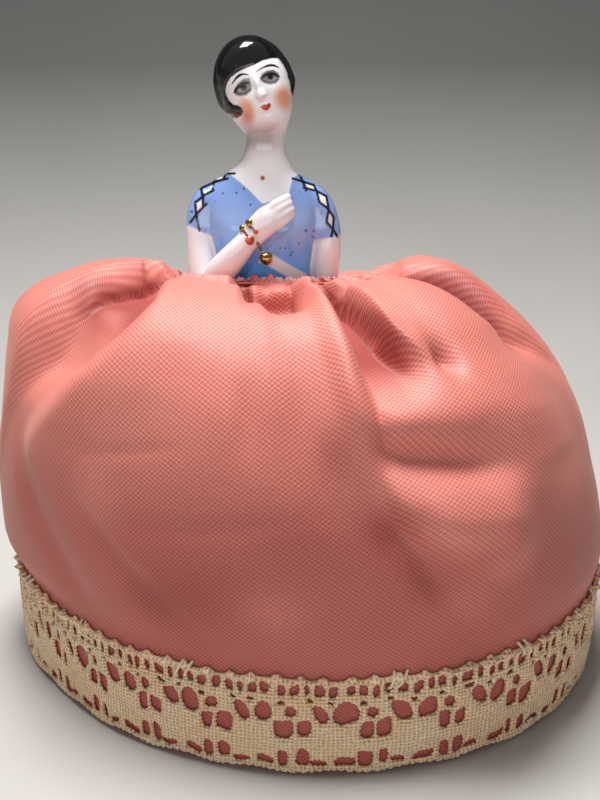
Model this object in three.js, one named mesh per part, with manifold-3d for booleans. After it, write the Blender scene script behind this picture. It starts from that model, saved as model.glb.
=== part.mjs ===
// Half doll pincushion: a glazed porcelain half figure sewn into a stuffed cushion that wears a
// gathered skirt of ribbed silk with a band of bobbin lace round its hem.
// Millimetres, +Z up. The figure faces -Y and the origin is the middle of the underside.
// Angles run from the front (-Y) towards +X. A skirt part runs from 0 at the waist to 1 at the hem.
import * as THREE from 'three';
import { mergeVertices } from 'three/addons/utils/BufferGeometryUtils.js';
import Module from 'manifold-3d';

const wasm = await Module();
wasm.setup();
const degree = Math.PI / 180;

// Gaps and cloths
const clearance = 0.3;
const silkThickness = 0.8;
const bagThickness = 0.6;

// Base
const baseClothThickness = 0.6;
const baseBoardThickness = 1.5;
const hemTurnUnder = 14;
const baseClothInset = 5;

// Cushion: plan radius every 30 degrees from the back round by -X, the front and +X
const planRadii = [85, 87, 90, 89, 81.5, 81, 84, 88, 91, 93, 91.5, 87.5];
const hemTuck = 0.025;
const crownHeight = 109.5;
const crownFrontRise = 3;
const crownSideRise = 3.5;
const crownReach = 0.2;
const puffHeight = 13;
const shoulderPower = 1.9;
const leftShoulderPower = 1;
const rightShoulderPower = 0.15;
const crownPart = 0.15;
const bulgePart = 0.75;

// Waist
const waistHeight = 116;
const waistFrontRise = 2.6;
const waistEase = 3;
const openingPower = 2.6;
const ruffleHeight = 3.5;
const recessDepth = 16;
const recessTaper = 1.2;

// Lace
const laceHeight = 28;
const laceThickness = 0.9;
const laceLift = 1;
const laceRepeats = 28;
const laceScallop = 1.6;
const laceToBulge = 4;

// Threads
const gatheringThreadRadius = 0.5;
const gatheringThreadLay = 0.2;
const gatheringThreadRest = 1.5;
const hemThreadRadius = 0.4;
const anchorThreadRadius = 0.4;
const anchorLoopRadius = 3.2;
const anchorCount = 6;
const tackRadius = 0.45;
const tackCount = 12;

// Half doll: porcelain wall, rim, and places measured from the middle of its rim
const dollX = -11;
const dollY = 0;
const porcelainWall = 2.6;
const rimHalfWidth = 16;
const rimHalfDepth = 10.8;
const rimHeight = 2.5;
const rimFlare = 3;
const sewHoleRadius = 1.1;
const waistHalfWidth = 14.4;
const waistHalfDepth = 9.2;
const bustHalfWidth = 16.4;
const bustHalfDepth = 10.6;
const bustForward = 1;
const chestHalfDepth = 9.6;
const shoulderHalfWidth = 18;
const shoulderHalfDepth = 8;
const shoulderRound = 2.4;
const neckRadius = 5.5;
const neckLean = 1.1;
const waistFrom = 12;
const waistTo = 18;
const bustLevel = 33;
const shoulderLevel = 44;
const collarRise = 6;
const collarFlare = 3.8;
const chinDrop = 4;
const armSpread = 19.9;
const armRadius = 3.6;
const upperArmRadius = 4.6;
const sleeveRadius = 5.4;
const elbowForward = 8;
const elbowLevel = 16;
const elbowIn = 3.4;
const elbowRadius = 4.1;
const wristX = -2.5;
const wristLevel = 34;
const wristRadius = 3.1;
const palmRadius = 3.7;
const fingerRadius = 1.7;
const handLength = 12;
const handRise = 9;
const knuckleRise = 6;
const armSlope = 1.5;
const armDrop = 2;
const sleeveLength = 11.5;
const headHeight = 23;
const headWidth = 19.5;
const headDepth = 20.5;
const hairThickness = 1.4;
const headLevel = 75;
const headShift = -1.7;
const headForward = 1;
const headRoll = -19;
const headYaw = 10;
const noseWidth = 2.8;
const noseDrop = 1;
const faceWidth = 16.8;
const faceReach = 3.3;
const fringeLevel = 3.7;
const fringeTilt = 8;
const bobLength = 8.5;
const beadRadius = 1.15;
const beadCount = 4;
const beadStep = 50;
const ballRadius = 2;
const ballLevel = 25.4;

// Facet counts
const skirtColumns = 44;
const frontCrowding = 0.4;
const bagColumns = skirtColumns / 2;
const bodySides = 24;
const hollowSides = 16;
const headSides = 18;
const headRows = 12;
const limbSides = 10;
const limbSteps = 5;
const limbDome = 0.6;
const threadSides = 4;
const tackSides = 5;
const tackSteps = 5;
const loopSteps = 12;
const skirtParts = [0, 0.07, crownPart, 0.23, 0.3, 0.37, 0.44, 0.52, 0.63, bulgePart, 1];

// Heights that follow from the sizes above
const hemLevel = baseClothThickness + clearance;
const boardLevel = hemLevel + silkThickness + clearance;
const fillingLevel = boardLevel + baseBoardThickness + clearance;
const bulgeHeight = hemLevel + laceLift + laceHeight + laceToBulge;
const recessFloor = waistHeight - recessDepth;
const dollLevel = recessFloor + clearance;
const openingHalfWidth = armSpread + armRadius + waistEase;
const openingFront = elbowForward + upperArmRadius + 1.5 * waistEase;
const openingBack = rimHalfDepth + anchorLoopRadius + waistEase / 3;

// Gathers: a crease sinks into the puffed cloth along a route of [part, angle] points
const frontCreases = [
  {
    route: [[0, -75], [0.2, -64], [0.3, -59], [0.4, -62], [0.5, -72], [0.6, -82]],
    depth: 14, left: 30, right: 10, end: 0.6,
  },
  { route: [[0, -13], [0.3, -14]], depth: 9, left: 3, right: 4, end: 0.27 },
  { route: [[0, 4], [0.3, 3]], depth: 5, left: 9, right: 9, end: 0.27 },
  {
    route: [[0, 20], [0.2, 22], [0.32, 26], [0.4, 29], [0.55, 33]],
    depth: 15, left: 14, right: 5, end: 0.54,
  },
  {
    route: [[0, 66], [0.2, 58], [0.28, 56], [0.36, 65], [0.46, 80]],
    depth: 15, left: 7, right: 16, end: 0.5,
  },
];
// Ridges stand up along the edges of the widest puffs
const ridges = [
  {
    route: [[0, -44], [0.2, -41], [0.35, -39], [0.445, -45], [0.535, -61], [0.6, -71]],
    height: 5, left: 5, right: 26, end: 0.62,
  },
  {
    route: [[0, 15], [0.2, 13.5], [0.42, 14], [0.56, 17]],
    height: 4.5, left: 16, right: 3.5, end: 0.62,
  },
  {
    route: [[0, 25], [0.215, 27.5], [0.33, 33.5], [0.4, 42]],
    height: 4, left: 4.5, right: 16, end: 0.44,
  },
  {
    route: [[0, 58], [0.2, 49], [0.27, 47], [0.36, 55], [0.44, 71]],
    height: 3, left: 16, right: 4, end: 0.47,
  },
];
// Round the back the gathers alternate between a short wide crease and a long narrow one
const backCreaseCount = 8;
const backCreaseFrom = 88;
const backCreaseTo = 254;
const backCreaseDrift = 4;
const shortCrease = { depth: 9, left: 12, right: 7, end: 0.5 };
const longCrease = { depth: 11, left: 7, right: 12, end: 0.58 };
const creaseGrowth = 0.08;
const creaseFade = 0.18;
const creaseFalloff = 1.6;
const puffGrowth = 0.2;
const puffFade = 0.35;

function backCrease(index) {
  const angle = THREE.MathUtils.lerp(backCreaseFrom, backCreaseTo, index / (backCreaseCount - 1));
  const drift = index % 2 === 0 ? backCreaseDrift : -backCreaseDrift;
  const form = index % 2 === 0 ? shortCrease : longCrease;
  return { ...form, route: [[0, angle], [puffFade, angle + drift], [bulgePart, angle - drift]] };
}

const backCreases = Array.from({ length: backCreaseCount }, (_, index) => backCrease(index));
const creases = [...frontCreases, ...backCreases];

function glaze(color) {
  return new THREE.MeshStandardMaterial({ color, roughness: 0.12, metalness: 0 });
}

function cloth(color) {
  return new THREE.MeshStandardMaterial({ color, roughness: 0.85, metalness: 0 });
}

function catmullRom(share, before, from, to, after) {
  const slopeFrom = (to - before) / 2;
  const slopeTo = (after - from) / 2;
  const bend = 2 * from - 2 * to + slopeFrom + slopeTo;
  const turn = -3 * from + 3 * to - 2 * slopeFrom - slopeTo;
  return ((bend * share + turn) * share + slopeFrom) * share + from;
}

function planRadius(angle) {
  const place = (THREE.MathUtils.euclideanModulo(angle / degree + 180, 360) / 360) * planRadii.length;
  const index = Math.floor(place);
  const at = (step) => planRadii[THREE.MathUtils.euclideanModulo(index + step, planRadii.length)];
  return catmullRom(place - index, at(-1), at(0), at(1), at(2));
}

function waistLevel(angle) {
  return waistHeight + waistFrontRise * Math.cos(angle);
}

function crownLevel(angle) {
  return crownHeight + crownFrontRise * Math.cos(angle) - crownSideRise * Math.cos(2 * angle);
}

// Reach from the waist (0) to the plan outline (1), and height, along one meridian of the cushion
function meridian(angle, part) {
  if (part < crownPart) {
    const share = part / crownPart;
    const rise = (crownLevel(angle) - waistLevel(angle)) * Math.sin((share * Math.PI) / 2);
    return { reach: crownReach * share, height: waistLevel(angle) + rise };
  }
  if (part < bulgePart) {
    const side = Math.sin(angle);
    const leftness = Math.max(-side, 0) ** 2 * leftShoulderPower;
    const power = shoulderPower + leftness - Math.max(side, 0) * rightShoulderPower;
    const sweep = ((part - crownPart) / (bulgePart - crownPart)) * (Math.PI / 2);
    const across = Math.sin(sweep);
    const up = Math.cos(sweep);
    const stretch = (across ** power + up ** power) ** (-1 / power);
    return {
      reach: crownReach + (1 - crownReach) * across * stretch,
      height: bulgeHeight + (crownLevel(angle) - bulgeHeight) * up * stretch,
    };
  }
  const share = (part - bulgePart) / (1 - bulgePart);
  return { reach: 1 - hemTuck * share ** 2, height: bulgeHeight + (hemLevel - bulgeHeight) * share };
}

// Rounded oval that the doll stands in, deeper in front where the bent elbow lies
function openingPoint(angle, inset, height) {
  const bow = (value) => Math.sign(value) * Math.abs(value) ** (2 / openingPower);
  const halfDepth = Math.cos(angle) > 0 ? openingFront : openingBack;
  const x = dollX + (openingHalfWidth - inset) * bow(Math.sin(angle));
  const y = dollY - (halfDepth - inset) * bow(Math.cos(angle));
  return new THREE.Vector3(x, y, height);
}

function cushionPoint(angle, part) {
  const { reach, height } = meridian(angle, part);
  const inner = openingPoint(angle, 0, height);
  const outer = awayFromAxis(angle).multiplyScalar(planRadius(angle)).setZ(height);
  return inner.lerp(outer, reach);
}

function cushionNormal(angle, part) {
  const step = 0.002;
  const low = Math.max(part - step, 0);
  const high = Math.min(part + step, 1);
  const down = cushionPoint(angle, high).sub(cushionPoint(angle, low));
  const round = cushionPoint(angle + step, part).sub(cushionPoint(angle - step, part));
  return round.cross(down).normalize().negate();
}

function angleAlong(route, part) {
  const next = route.findIndex(([stop]) => stop > part);
  if (next === 0) return route[0][1];
  if (next === -1) return route[route.length - 1][1];
  const [fromPart, fromAngle] = route[next - 1];
  const [toPart, toAngle] = route[next];
  return THREE.MathUtils.mapLinear(part, fromPart, toPart, fromAngle, toAngle);
}

// Height of one crease or ridge: strongest on its route, falling off unevenly to its two sides
function fold({ route, left, right, end }, angle, part, radius) {
  const past = angle - angleAlong(route, part) * degree;
  const away = (THREE.MathUtils.euclideanModulo(past + Math.PI, 2 * Math.PI) - Math.PI) * radius;
  const grown = THREE.MathUtils.smoothstep(part, 0, creaseGrowth);
  const remaining = 1 - THREE.MathUtils.smoothstep(part, end - creaseFade, end);
  const width = away < 0 ? left : right;
  return grown * remaining * Math.exp(-(Math.abs(away / width) ** creaseFalloff));
}

function foldHeight(angle, part) {
  const point = cushionPoint(angle, part);
  const radius = Math.hypot(point.x - dollX * (1 - part), point.y - dollY * (1 - part));
  const swollen = THREE.MathUtils.smoothstep(part, 0, puffGrowth);
  const swell = swollen * (1 - THREE.MathUtils.smoothstep(part, puffFade, bulgePart));
  const sunk = creases.reduce((sum, crease) => sum + crease.depth * fold(crease, angle, part, radius), 0);
  const raised = ridges.reduce((sum, ridge) => sum + ridge.height * fold(ridge, angle, part, radius), 0);
  return Math.max(puffHeight * swell - sunk, 0) + raised;
}

function skirtPoint(angle, part, depth = 0) {
  const lift = foldHeight(angle, part) - depth;
  return cushionPoint(angle, part).addScaledVector(cushionNormal(angle, part), lift);
}

function bagPoint(angle, part, depth) {
  const point = cushionPoint(angle, part).addScaledVector(cushionNormal(angle, part), -depth);
  point.z = Math.max(point.z, fillingLevel);
  return point;
}

function ring(count, pointAt) {
  return Array.from({ length: count }, (_, index) => pointAt((2 * Math.PI * index) / count));
}

// Ring round the cushion with its points closer together at the front, where the folds are finest
function frontRing(count, pointAt) {
  return ring(count, (turn) => pointAt(turn - frontCrowding * Math.sin(turn)));
}

function signedVolume(points, faces) {
  const across = new THREE.Vector3();
  return faces.reduce((sum, [a, b, c]) => sum + across.crossVectors(points[a], points[b]).dot(points[c]), 0);
}

function solidGeometry(points, faces) {
  const outward = signedVolume(points, faces) > 0;
  const index = faces.flatMap(([a, b, c]) => (outward ? [a, b, c] : [a, c, b]));
  const geometry = new THREE.BufferGeometry().setFromPoints(points);
  geometry.setIndex(index);
  return geometry;
}

// Skin through rings of equal count: a loop of rings closes on itself, a row gets a cap at each end
function loft(rings, looped = false) {
  const count = rings[0].length;
  const points = rings.flat();
  const faces = [];
  const last = looped ? rings.length : rings.length - 1;
  for (let row = 0; row < last; row += 1) {
    for (let column = 0; column < count; column += 1) {
      const beside = (column + 1) % count;
      const below = ((row + 1) % rings.length) * count;
      pushQuad(points, faces, [row * count + column, below + column, below + beside, row * count + beside]);
    }
  }
  if (!looped) {
    capRing(points, faces, rings[0], 0, false);
    capRing(points, faces, rings[rings.length - 1], (rings.length - 1) * count, true);
  }
  return solidGeometry(points, faces);
}

// Two triangles over a four-sided patch, split along its shorter diagonal
function pushQuad(points, faces, [a, b, c, d]) {
  const splitsAtB = points[b].distanceTo(points[d]) < points[a].distanceTo(points[c]);
  if (splitsAtB) faces.push([a, b, d], [b, c, d]);
  else faces.push([a, b, c], [a, c, d]);
}

function capRing(points, faces, rim, first, reversed) {
  const centre = rim.reduce((sum, point) => sum.add(point), new THREE.Vector3()).divideScalar(rim.length);
  const hub = points.push(centre) - 1;
  rim.forEach((_, column) => {
    const here = first + column;
    const beside = first + ((column + 1) % rim.length);
    faces.push(reversed ? [hub, beside, here] : [hub, here, beside]);
  });
}

function toSolid(geometry) {
  const bare = geometry.clone();
  bare.deleteAttribute('normal');
  bare.deleteAttribute('uv');
  const merged = mergeVertices(bare, 1e-4);
  const vertProperties = new Float32Array(merged.attributes.position.array);
  const triVerts = new Uint32Array(merged.index.array);
  return new wasm.Manifold(new wasm.Mesh({ numProp: 3, vertProperties, triVerts }));
}

function fromSolid(solid) {
  const { vertProperties, triVerts, numProp } = solid.getMesh();
  const points = [];
  for (let start = 0; start < vertProperties.length; start += numProp) {
    points.push(...vertProperties.slice(start, start + 3));
  }
  const geometry = new THREE.BufferGeometry();
  geometry.setAttribute('position', new THREE.Float32BufferAttribute(points, 3));
  geometry.setIndex(Array.from(triVerts));
  return geometry;
}

function cut(geometry, cutters) {
  const solid = cutters.reduce((left, cutter) => left.subtract(toSolid(cutter)), toSolid(geometry));
  return fromSolid(solid);
}

function join(geometries) {
  const [first, ...others] = geometries.map(toSolid);
  return others.reduce((whole, solid) => whole.add(solid), first);
}

// Round thread or limb along a curve, with a radius at each of its points and domed ends
function limb(points, radii, sides, steps) {
  const curve = new THREE.CatmullRomCurve3(points);
  const frames = curve.computeFrenetFrames(steps, false);
  const radiusAt = (share) => {
    const place = Math.min(share * (radii.length - 1), radii.length - 1 - 1e-6);
    return THREE.MathUtils.lerp(radii[Math.floor(place)], radii[Math.floor(place) + 1], place % 1);
  };
  const section = (share, index, radius, ahead) => {
    const middle = curve.getPointAt(share).addScaledVector(frames.tangents[index], ahead);
    return ring(sides, (angle) => middle.clone()
      .addScaledVector(frames.normals[index], radius * Math.cos(angle))
      .addScaledVector(frames.binormals[index], radius * Math.sin(angle)));
  };
  const rings = Array.from({ length: steps + 1 }, (_, index) => {
    const share = index / steps;
    return section(share, index, radiusAt(share), 0);
  });
  const firstDome = radii[0] * limbDome;
  const lastDome = radii[radii.length - 1] * limbDome;
  rings.unshift(section(0, 0, firstDome, -firstDome));
  rings.push(section(1, steps, lastDome, lastDome));
  return loft(rings);
}

// Thread laid in a closed ring: its middle line and the direction away from the cushion's axis
function threadRing(count, sides, radius, middleAt, outwardAt) {
  const up = new THREE.Vector3(0, 0, 1);
  const rings = frontRing(count, (angle) => {
    const middle = middleAt(angle);
    const outward = outwardAt(angle);
    return ring(sides, (turn) => middle.clone()
      .addScaledVector(outward, radius * Math.cos(turn))
      .addScaledVector(up, radius * Math.sin(turn)));
  });
  return loft(rings, true);
}

function awayFromAxis(angle) {
  return new THREE.Vector3(Math.sin(angle), -Math.cos(angle), 0);
}

function hemPoint(angle, inset, height) {
  const radius = planRadius(angle) * (1 - hemTuck) - inset;
  return awayFromAxis(angle).multiplyScalar(radius).setZ(height);
}

function plate(inset, level, thickness) {
  const outline = frontRing(skirtColumns, (angle) => hemPoint(angle, inset, 0));
  const shape = new THREE.Shape(outline.map((point) => new THREE.Vector2(point.x, point.y)));
  const geometry = new THREE.ExtrudeGeometry(shape, { depth: thickness, bevelEnabled: false, steps: 1 });
  return geometry.translate(0, 0, level);
}

// Skirt: outer face from the ruffle down to the turned-under hem, then the inner face back up
function skirt() {
  const rows = (depth) => skirtParts.map((part) => frontRing(skirtColumns, (angle) => {
    const point = skirtPoint(angle, part, depth);
    point.z = Math.max(point.z, hemLevel + depth);
    return point;
  }));
  const ruffle = (inset) => frontRing(skirtColumns, (angle) => (
    openingPoint(angle, inset, waistLevel(angle) + ruffleHeight)
  ));
  const hem = (inset, height) => frontRing(skirtColumns, (angle) => hemPoint(angle, inset, height));
  const innerNeck = frontRing(skirtColumns, (angle) => openingPoint(angle, silkThickness, waistLevel(angle)));
  const inner = rows(silkThickness).reverse();
  return loft([
    ruffle(0),
    ...rows(0),
    hem(hemTurnUnder, hemLevel),
    hem(hemTurnUnder, hemLevel + silkThickness),
    ...inner,
    innerNeck,
    ruffle(silkThickness),
  ], true);
}

// Rows of the stuffed bag under the skirt, from the floor of the doll's recess out to the base
function bagRows(depth) {
  const underSilk = silkThickness + clearance;
  const floor = frontRing(bagColumns, (angle) => (
    openingPoint(angle, underSilk + recessTaper - depth, recessFloor - depth)
  ));
  const lip = frontRing(bagColumns, (angle) => (
    openingPoint(angle, underSilk - depth / 2, waistLevel(angle) - underSilk - 2 * depth)
  ));
  const slope = skirtParts.slice(1).map((part) => (
    frontRing(bagColumns, (angle) => bagPoint(angle, part, underSilk + depth))
  ));
  return [floor, lip, ...slope];
}

function liningBag() {
  return loft([...bagRows(0), ...bagRows(bagThickness).reverse()]);
}

function cushionFilling() {
  return loft(bagRows(bagThickness + clearance));
}

// Lace: a band of cells laid on the skirt's lower wall, with a hole where the pattern has a dot
const lacePattern = ['#####', '#.#.#', '#####', '.##.#', '.##.#', '#####'];
const laceRowShares = [1, 0.91, 0.79, 0.68, 0.44, 0.2, 0];
const laceSpread = [0, 0, 0, 0, 0.3, 0, 0];
const laceSway = [0, -1, 0, 1, 0];
const tackCell = 1.5;

function wallPoint(angle, height, offset) {
  const share = (bulgeHeight - height) / (bulgeHeight - hemLevel);
  const part = bulgePart + (1 - bulgePart) * THREE.MathUtils.clamp(share, 0, 1);
  return cushionPoint(angle, part).addScaledVector(awayFromAxis(angle), offset).setZ(height);
}

function laceTrim() {
  const cells = lacePattern[0].length;
  const columns = laceRepeats * cells;
  const rows = laceRowShares.length;
  const bottom = hemLevel + laceLift;
  const points = [];
  const faces = [];
  const open = (row, column) => row < 0 || row >= rows - 1
    || lacePattern[row][THREE.MathUtils.euclideanModulo(column, cells)] === '.';
  const corner = (row, column, layer) => (layer * rows + row) * columns + (column % columns);
  const quad = (a, b, c, d) => faces.push([a, b, c], [a, c, d]);
  for (let layer = 0; layer < 2; layer += 1) {
    for (let row = 0; row < rows; row += 1) {
      for (let column = 0; column < columns; column += 1) {
        const spread = laceSpread[row] * laceSway[column % cells];
        const angle = (2 * Math.PI * (column + spread)) / columns;
        const wave = (1 - Math.cos((2 * Math.PI * column) / cells)) / 2;
        const scallop = (1 - laceRowShares[row]) * laceScallop * wave;
        const height = bottom + laceHeight * laceRowShares[row] + scallop;
        points.push(wallPoint(angle, height, clearance + layer * laceThickness));
      }
    }
  }
  for (let row = 0; row < rows - 1; row += 1) {
    for (let column = 0; column < columns; column += 1) {
      if (open(row, column)) continue;
      const face = (layer) => [
        corner(row, column, layer), corner(row, column + 1, layer),
        corner(row + 1, column + 1, layer), corner(row + 1, column, layer),
      ];
      const [innerA, innerB, innerC, innerD] = face(0);
      const [outerA, outerB, outerC, outerD] = face(1);
      quad(outerA, outerD, outerC, outerB);
      quad(innerA, innerB, innerC, innerD);
      if (open(row - 1, column)) quad(innerA, outerA, outerB, innerB);
      if (open(row + 1, column)) quad(innerD, innerC, outerC, outerD);
      if (open(row, column - 1)) quad(innerA, innerD, outerD, outerA);
      if (open(row, column + 1)) quad(innerB, outerB, outerC, innerC);
    }
  }
  return solidGeometry(points, faces);
}

// Tack stitch over the lace's heading, from the silk above it to the silk in the hole below it
function laceTack(index) {
  const cells = lacePattern[0].length;
  const repeat = Math.floor(((index + 0.5) * laceRepeats) / tackCount);
  const angle = (2 * Math.PI * (repeat * cells + tackCell)) / (laceRepeats * cells);
  const top = hemLevel + laceLift + laceHeight;
  const over = clearance + laceThickness + clearance + tackRadius;
  const onSilk = clearance + tackRadius;
  const ladderMiddle = top - laceHeight * (1 - (laceRowShares[1] + laceRowShares[2]) / 2);
  const points = [
    wallPoint(angle, top + clearance + 2 * tackRadius, onSilk),
    wallPoint(angle, top + clearance + tackRadius, over),
    wallPoint(angle, ladderMiddle + 2 * tackRadius, over),
    wallPoint(angle, ladderMiddle, onSilk),
  ];
  return limb(points, [tackRadius, tackRadius], tackSides, tackSteps);
}

// Gathering thread in the groove at the foot of the ruffle
function gatheringThread() {
  const rest = gatheringThreadRest * (clearance + gatheringThreadRadius);
  const middle = (angle) => {
    const foot = skirtPoint(angle, skirtParts[0]);
    const point = foot.lerp(skirtPoint(angle, skirtParts[1]), gatheringThreadLay);
    return point.setZ(point.z + rest);
  };
  return threadRing(skirtColumns, threadSides, gatheringThreadRadius, middle, awayFromAxis);
}

function hemThread() {
  const inset = hemTurnUnder + clearance + hemThreadRadius;
  const level = hemLevel + silkThickness / 2;
  const middle = (angle) => hemPoint(angle, inset, level);
  return threadRing(skirtColumns, threadSides, hemThreadRadius, middle, awayFromAxis);
}

// Sections of the figure's body above its rim: level, half width, half depth, sideways, forwards
function bodySections() {
  const neckFoot = shoulderLevel + collarRise;
  const ribHalfDepth = (waistHalfDepth + bustHalfDepth) / 2;
  return [
    [0, rimHalfWidth, rimHalfDepth, 0, 0],
    [rimHeight, rimHalfWidth, rimHalfDepth, 0, 0],
    [rimHeight + rimFlare, (rimHalfWidth + waistHalfWidth) / 2, (rimHalfDepth + waistHalfDepth) / 2, 0, 0],
    [waistFrom, waistHalfWidth, waistHalfDepth, 0, 0],
    [waistTo, waistHalfWidth, waistHalfDepth, 0, 0],
    [(waistTo + bustLevel) / 2, (waistHalfWidth + bustHalfWidth) / 2, ribHalfDepth, 0, 0],
    [bustLevel, bustHalfWidth, bustHalfDepth, 0, bustForward],
    [(bustLevel + shoulderLevel) / 2, (bustHalfWidth + shoulderHalfWidth) / 2, chestHalfDepth, 0, 0],
    [shoulderLevel, shoulderHalfWidth, shoulderHalfDepth, 0, 0],
    [shoulderLevel + collarRise / 2, shoulderHalfWidth - shoulderRound, shoulderHalfDepth - 1, 0, 0],
    [neckFoot, neckRadius + collarFlare, neckRadius + 1, neckLean / 3, 0],
    [neckFoot + collarRise / 2, neckRadius + 1, neckRadius, neckLean / 2, 0],
    [headLevel - headHeight / 2 + chinDrop, neckRadius, neckRadius, neckLean, 0],
  ];
}

function bodyRing([level, halfWidth, halfDepth, sideways, forwards], inset, count) {
  return ring(count, (angle) => new THREE.Vector3(
    sideways + (halfWidth - inset) * Math.sin(angle),
    -forwards - (halfDepth - inset) * Math.cos(angle),
    level,
  ));
}

function body() {
  return loft(bodySections().map((section) => bodyRing(section, 0, bodySides)));
}

// Hollow of the casting, open at the rim
function bodyHollow() {
  const sections = bodySections().filter(([level]) => level < shoulderLevel);
  const mouth = [...sections[0]];
  mouth[0] = -rimHeight;
  return loft([mouth, ...sections.slice(1)].map((section) => bodyRing(section, porcelainWall, hollowSides)));
}

// Raised arm, bent at the elbow with the hand on the breast
function armPoints() {
  const front = -bustHalfDepth - bustForward;
  return {
    shoulder: new THREE.Vector3(armSlope - armSpread, 0, shoulderLevel - armDrop),
    middle: new THREE.Vector3(-armSpread, -elbowForward / 4, (shoulderLevel + elbowLevel) / 2),
    elbow: new THREE.Vector3(elbowIn - armSpread, -elbowForward, elbowLevel),
    wrist: new THREE.Vector3(wristX, front - wristRadius, wristLevel),
    knuckles: new THREE.Vector3(wristX + handLength / 2, front - wristRadius / 2, wristLevel + knuckleRise),
    fingertips: new THREE.Vector3(wristX + handLength, front, wristLevel + handRise),
  };
}

function foldedArm() {
  const { shoulder, middle, elbow, wrist, knuckles, fingertips } = armPoints();
  const upper = [shoulder, middle, elbow];
  const lower = [elbow, elbow.clone().lerp(wrist, 0.5), wrist];
  const hand = [wrist, knuckles, fingertips];
  return [
    limb(upper, [upperArmRadius, upperArmRadius, elbowRadius], limbSides, limbSteps),
    limb(lower, [elbowRadius, elbowRadius, wristRadius], limbSides, limbSteps),
    limb(hand, [wristRadius, palmRadius, fingerRadius], limbSides, limbSteps),
  ];
}

function hangingArm() {
  const shoulder = new THREE.Vector3(armSpread - armSlope, 0, shoulderLevel - armDrop);
  const middle = new THREE.Vector3(armSpread, -1, (shoulderLevel + elbowLevel) / 2);
  const wrist = new THREE.Vector3(armSpread, -1, waistFrom);
  const handLevel = anchorLoopRadius + anchorThreadRadius + clearance + wristRadius;
  const hand = new THREE.Vector3(armSpread - wristRadius, -2, handLevel);
  const radii = [upperArmRadius, armRadius, armRadius, wristRadius];
  return [limb([shoulder, middle, wrist, hand], radii, limbSides, 2 * limbSteps)];
}

function sleeve(side) {
  const top = new THREE.Vector3(side * (armSpread - 2 * armSlope), 0, shoulderLevel - armDrop);
  const hem = new THREE.Vector3(side * (armSpread - armSlope), -1, shoulderLevel - sleeveLength);
  const points = [top, top.clone().lerp(hem, 0.5), hem];
  return limb(points, [sleeveRadius * 0.75, sleeveRadius, sleeveRadius], limbSides, limbSteps);
}

function headPlace() {
  const angles = new THREE.Euler(0, headRoll * degree, headYaw * degree, 'ZYX');
  const turn = new THREE.Quaternion().setFromEuler(angles);
  const middle = new THREE.Vector3(headShift, -headForward, headLevel);
  return new THREE.Matrix4().compose(middle, turn, new THREE.Vector3(1, 1, 1));
}

// Head with a small nose, and a bobbed cap of hair that leaves the face open
function head() {
  const ball = () => new THREE.SphereGeometry(0.5, headSides, headRows).rotateX(Math.PI / 2);
  const around = 2 * hairThickness;
  const skull = ball().scale(headWidth, headDepth, headHeight);
  const nose = new THREE.SphereGeometry(noseWidth / 2, 8, 6).scale(1, 1.2, 1.8);
  nose.translate(0, -headDepth / 2, -noseDrop);
  const cap = ball().scale(headWidth + around, headDepth + around, headHeight + around);
  const face = new THREE.BoxGeometry(faceWidth, headDepth, 2 * headHeight);
  face.translate(0, -faceReach - headDepth / 2, fringeLevel - headHeight).rotateY(fringeTilt * degree);
  const nape = new THREE.BoxGeometry(2 * headWidth, 2 * headDepth, headHeight);
  nape.translate(0, 0, -bobLength - headHeight / 2);
  const pieces = [skull, nose, cut(cap, [face, nape])];
  return pieces.map((piece) => piece.applyMatrix4(headPlace()));
}

// Moulded bracelet beads round the raised wrist and the gilt ball at the waist
function ornaments() {
  const { elbow, wrist } = armPoints();
  const along = wrist.clone().sub(elbow).normalize();
  const front = new THREE.Vector3(0, -1, 0).addScaledVector(along, along.y).normalize();
  const beads = Array.from({ length: beadCount }, (_, index) => {
    const angle = (index - (beadCount - 1) / 2) * beadStep * degree;
    const outward = front.clone().applyAxisAngle(along, angle);
    const middle = wrist.clone().addScaledVector(outward, wristRadius + beadRadius / 3);
    return new THREE.SphereGeometry(beadRadius, 8, 6).translate(middle.x, middle.y, middle.z);
  });
  const ball = new THREE.SphereGeometry(ballRadius, 8, 6);
  ball.translate(0, -(waistHalfDepth + bustHalfDepth) / 2 - ballRadius / 2, ballLevel);
  return [...beads, ball];
}

function sewHoles() {
  const holes = [];
  for (let index = 0; index < anchorCount; index += 1) {
    const angle = anchorAngle(index);
    const hole = new THREE.CylinderGeometry(sewHoleRadius, sewHoleRadius, 6 * porcelainWall, limbSides);
    const middle = anchorMiddle(angle);
    hole.rotateZ(Math.PI / 2).rotateZ(angle - Math.PI / 2);
    holes.push(hole.translate(middle.x, middle.y, anchorLoopRadius - clearance));
  }
  return holes;
}

function anchorAngle(index) {
  return ((index + 0.5) * 2 * Math.PI) / anchorCount;
}

function anchorMiddle(angle) {
  const wallMiddle = porcelainWall / 2;
  return new THREE.Vector3(
    (rimHalfWidth - wallMiddle) * Math.sin(angle),
    -(rimHalfDepth - wallMiddle) * Math.cos(angle),
    0,
  );
}

// Thread loop through a hole in the rim and down into the stuffed bag
function anchorLoop(index, radius) {
  const angle = anchorAngle(index);
  const loop = new THREE.TorusGeometry(anchorLoopRadius, radius, tackSides, loopSteps).rotateX(Math.PI / 2);
  loop.rotateZ(angle - Math.PI / 2);
  const middle = anchorMiddle(angle);
  return loop.translate(dollX + middle.x, dollY + middle.y, recessFloor);
}

function halfDoll() {
  const whole = join([
    body(), ...foldedArm(), ...hangingArm(), sleeve(-1), sleeve(1), ...head(), ...ornaments(),
  ]);
  const hollowed = [bodyHollow(), ...sewHoles()].reduce((left, tool) => left.subtract(toSolid(tool)), whole);
  return fromSolid(hollowed);
}

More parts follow.
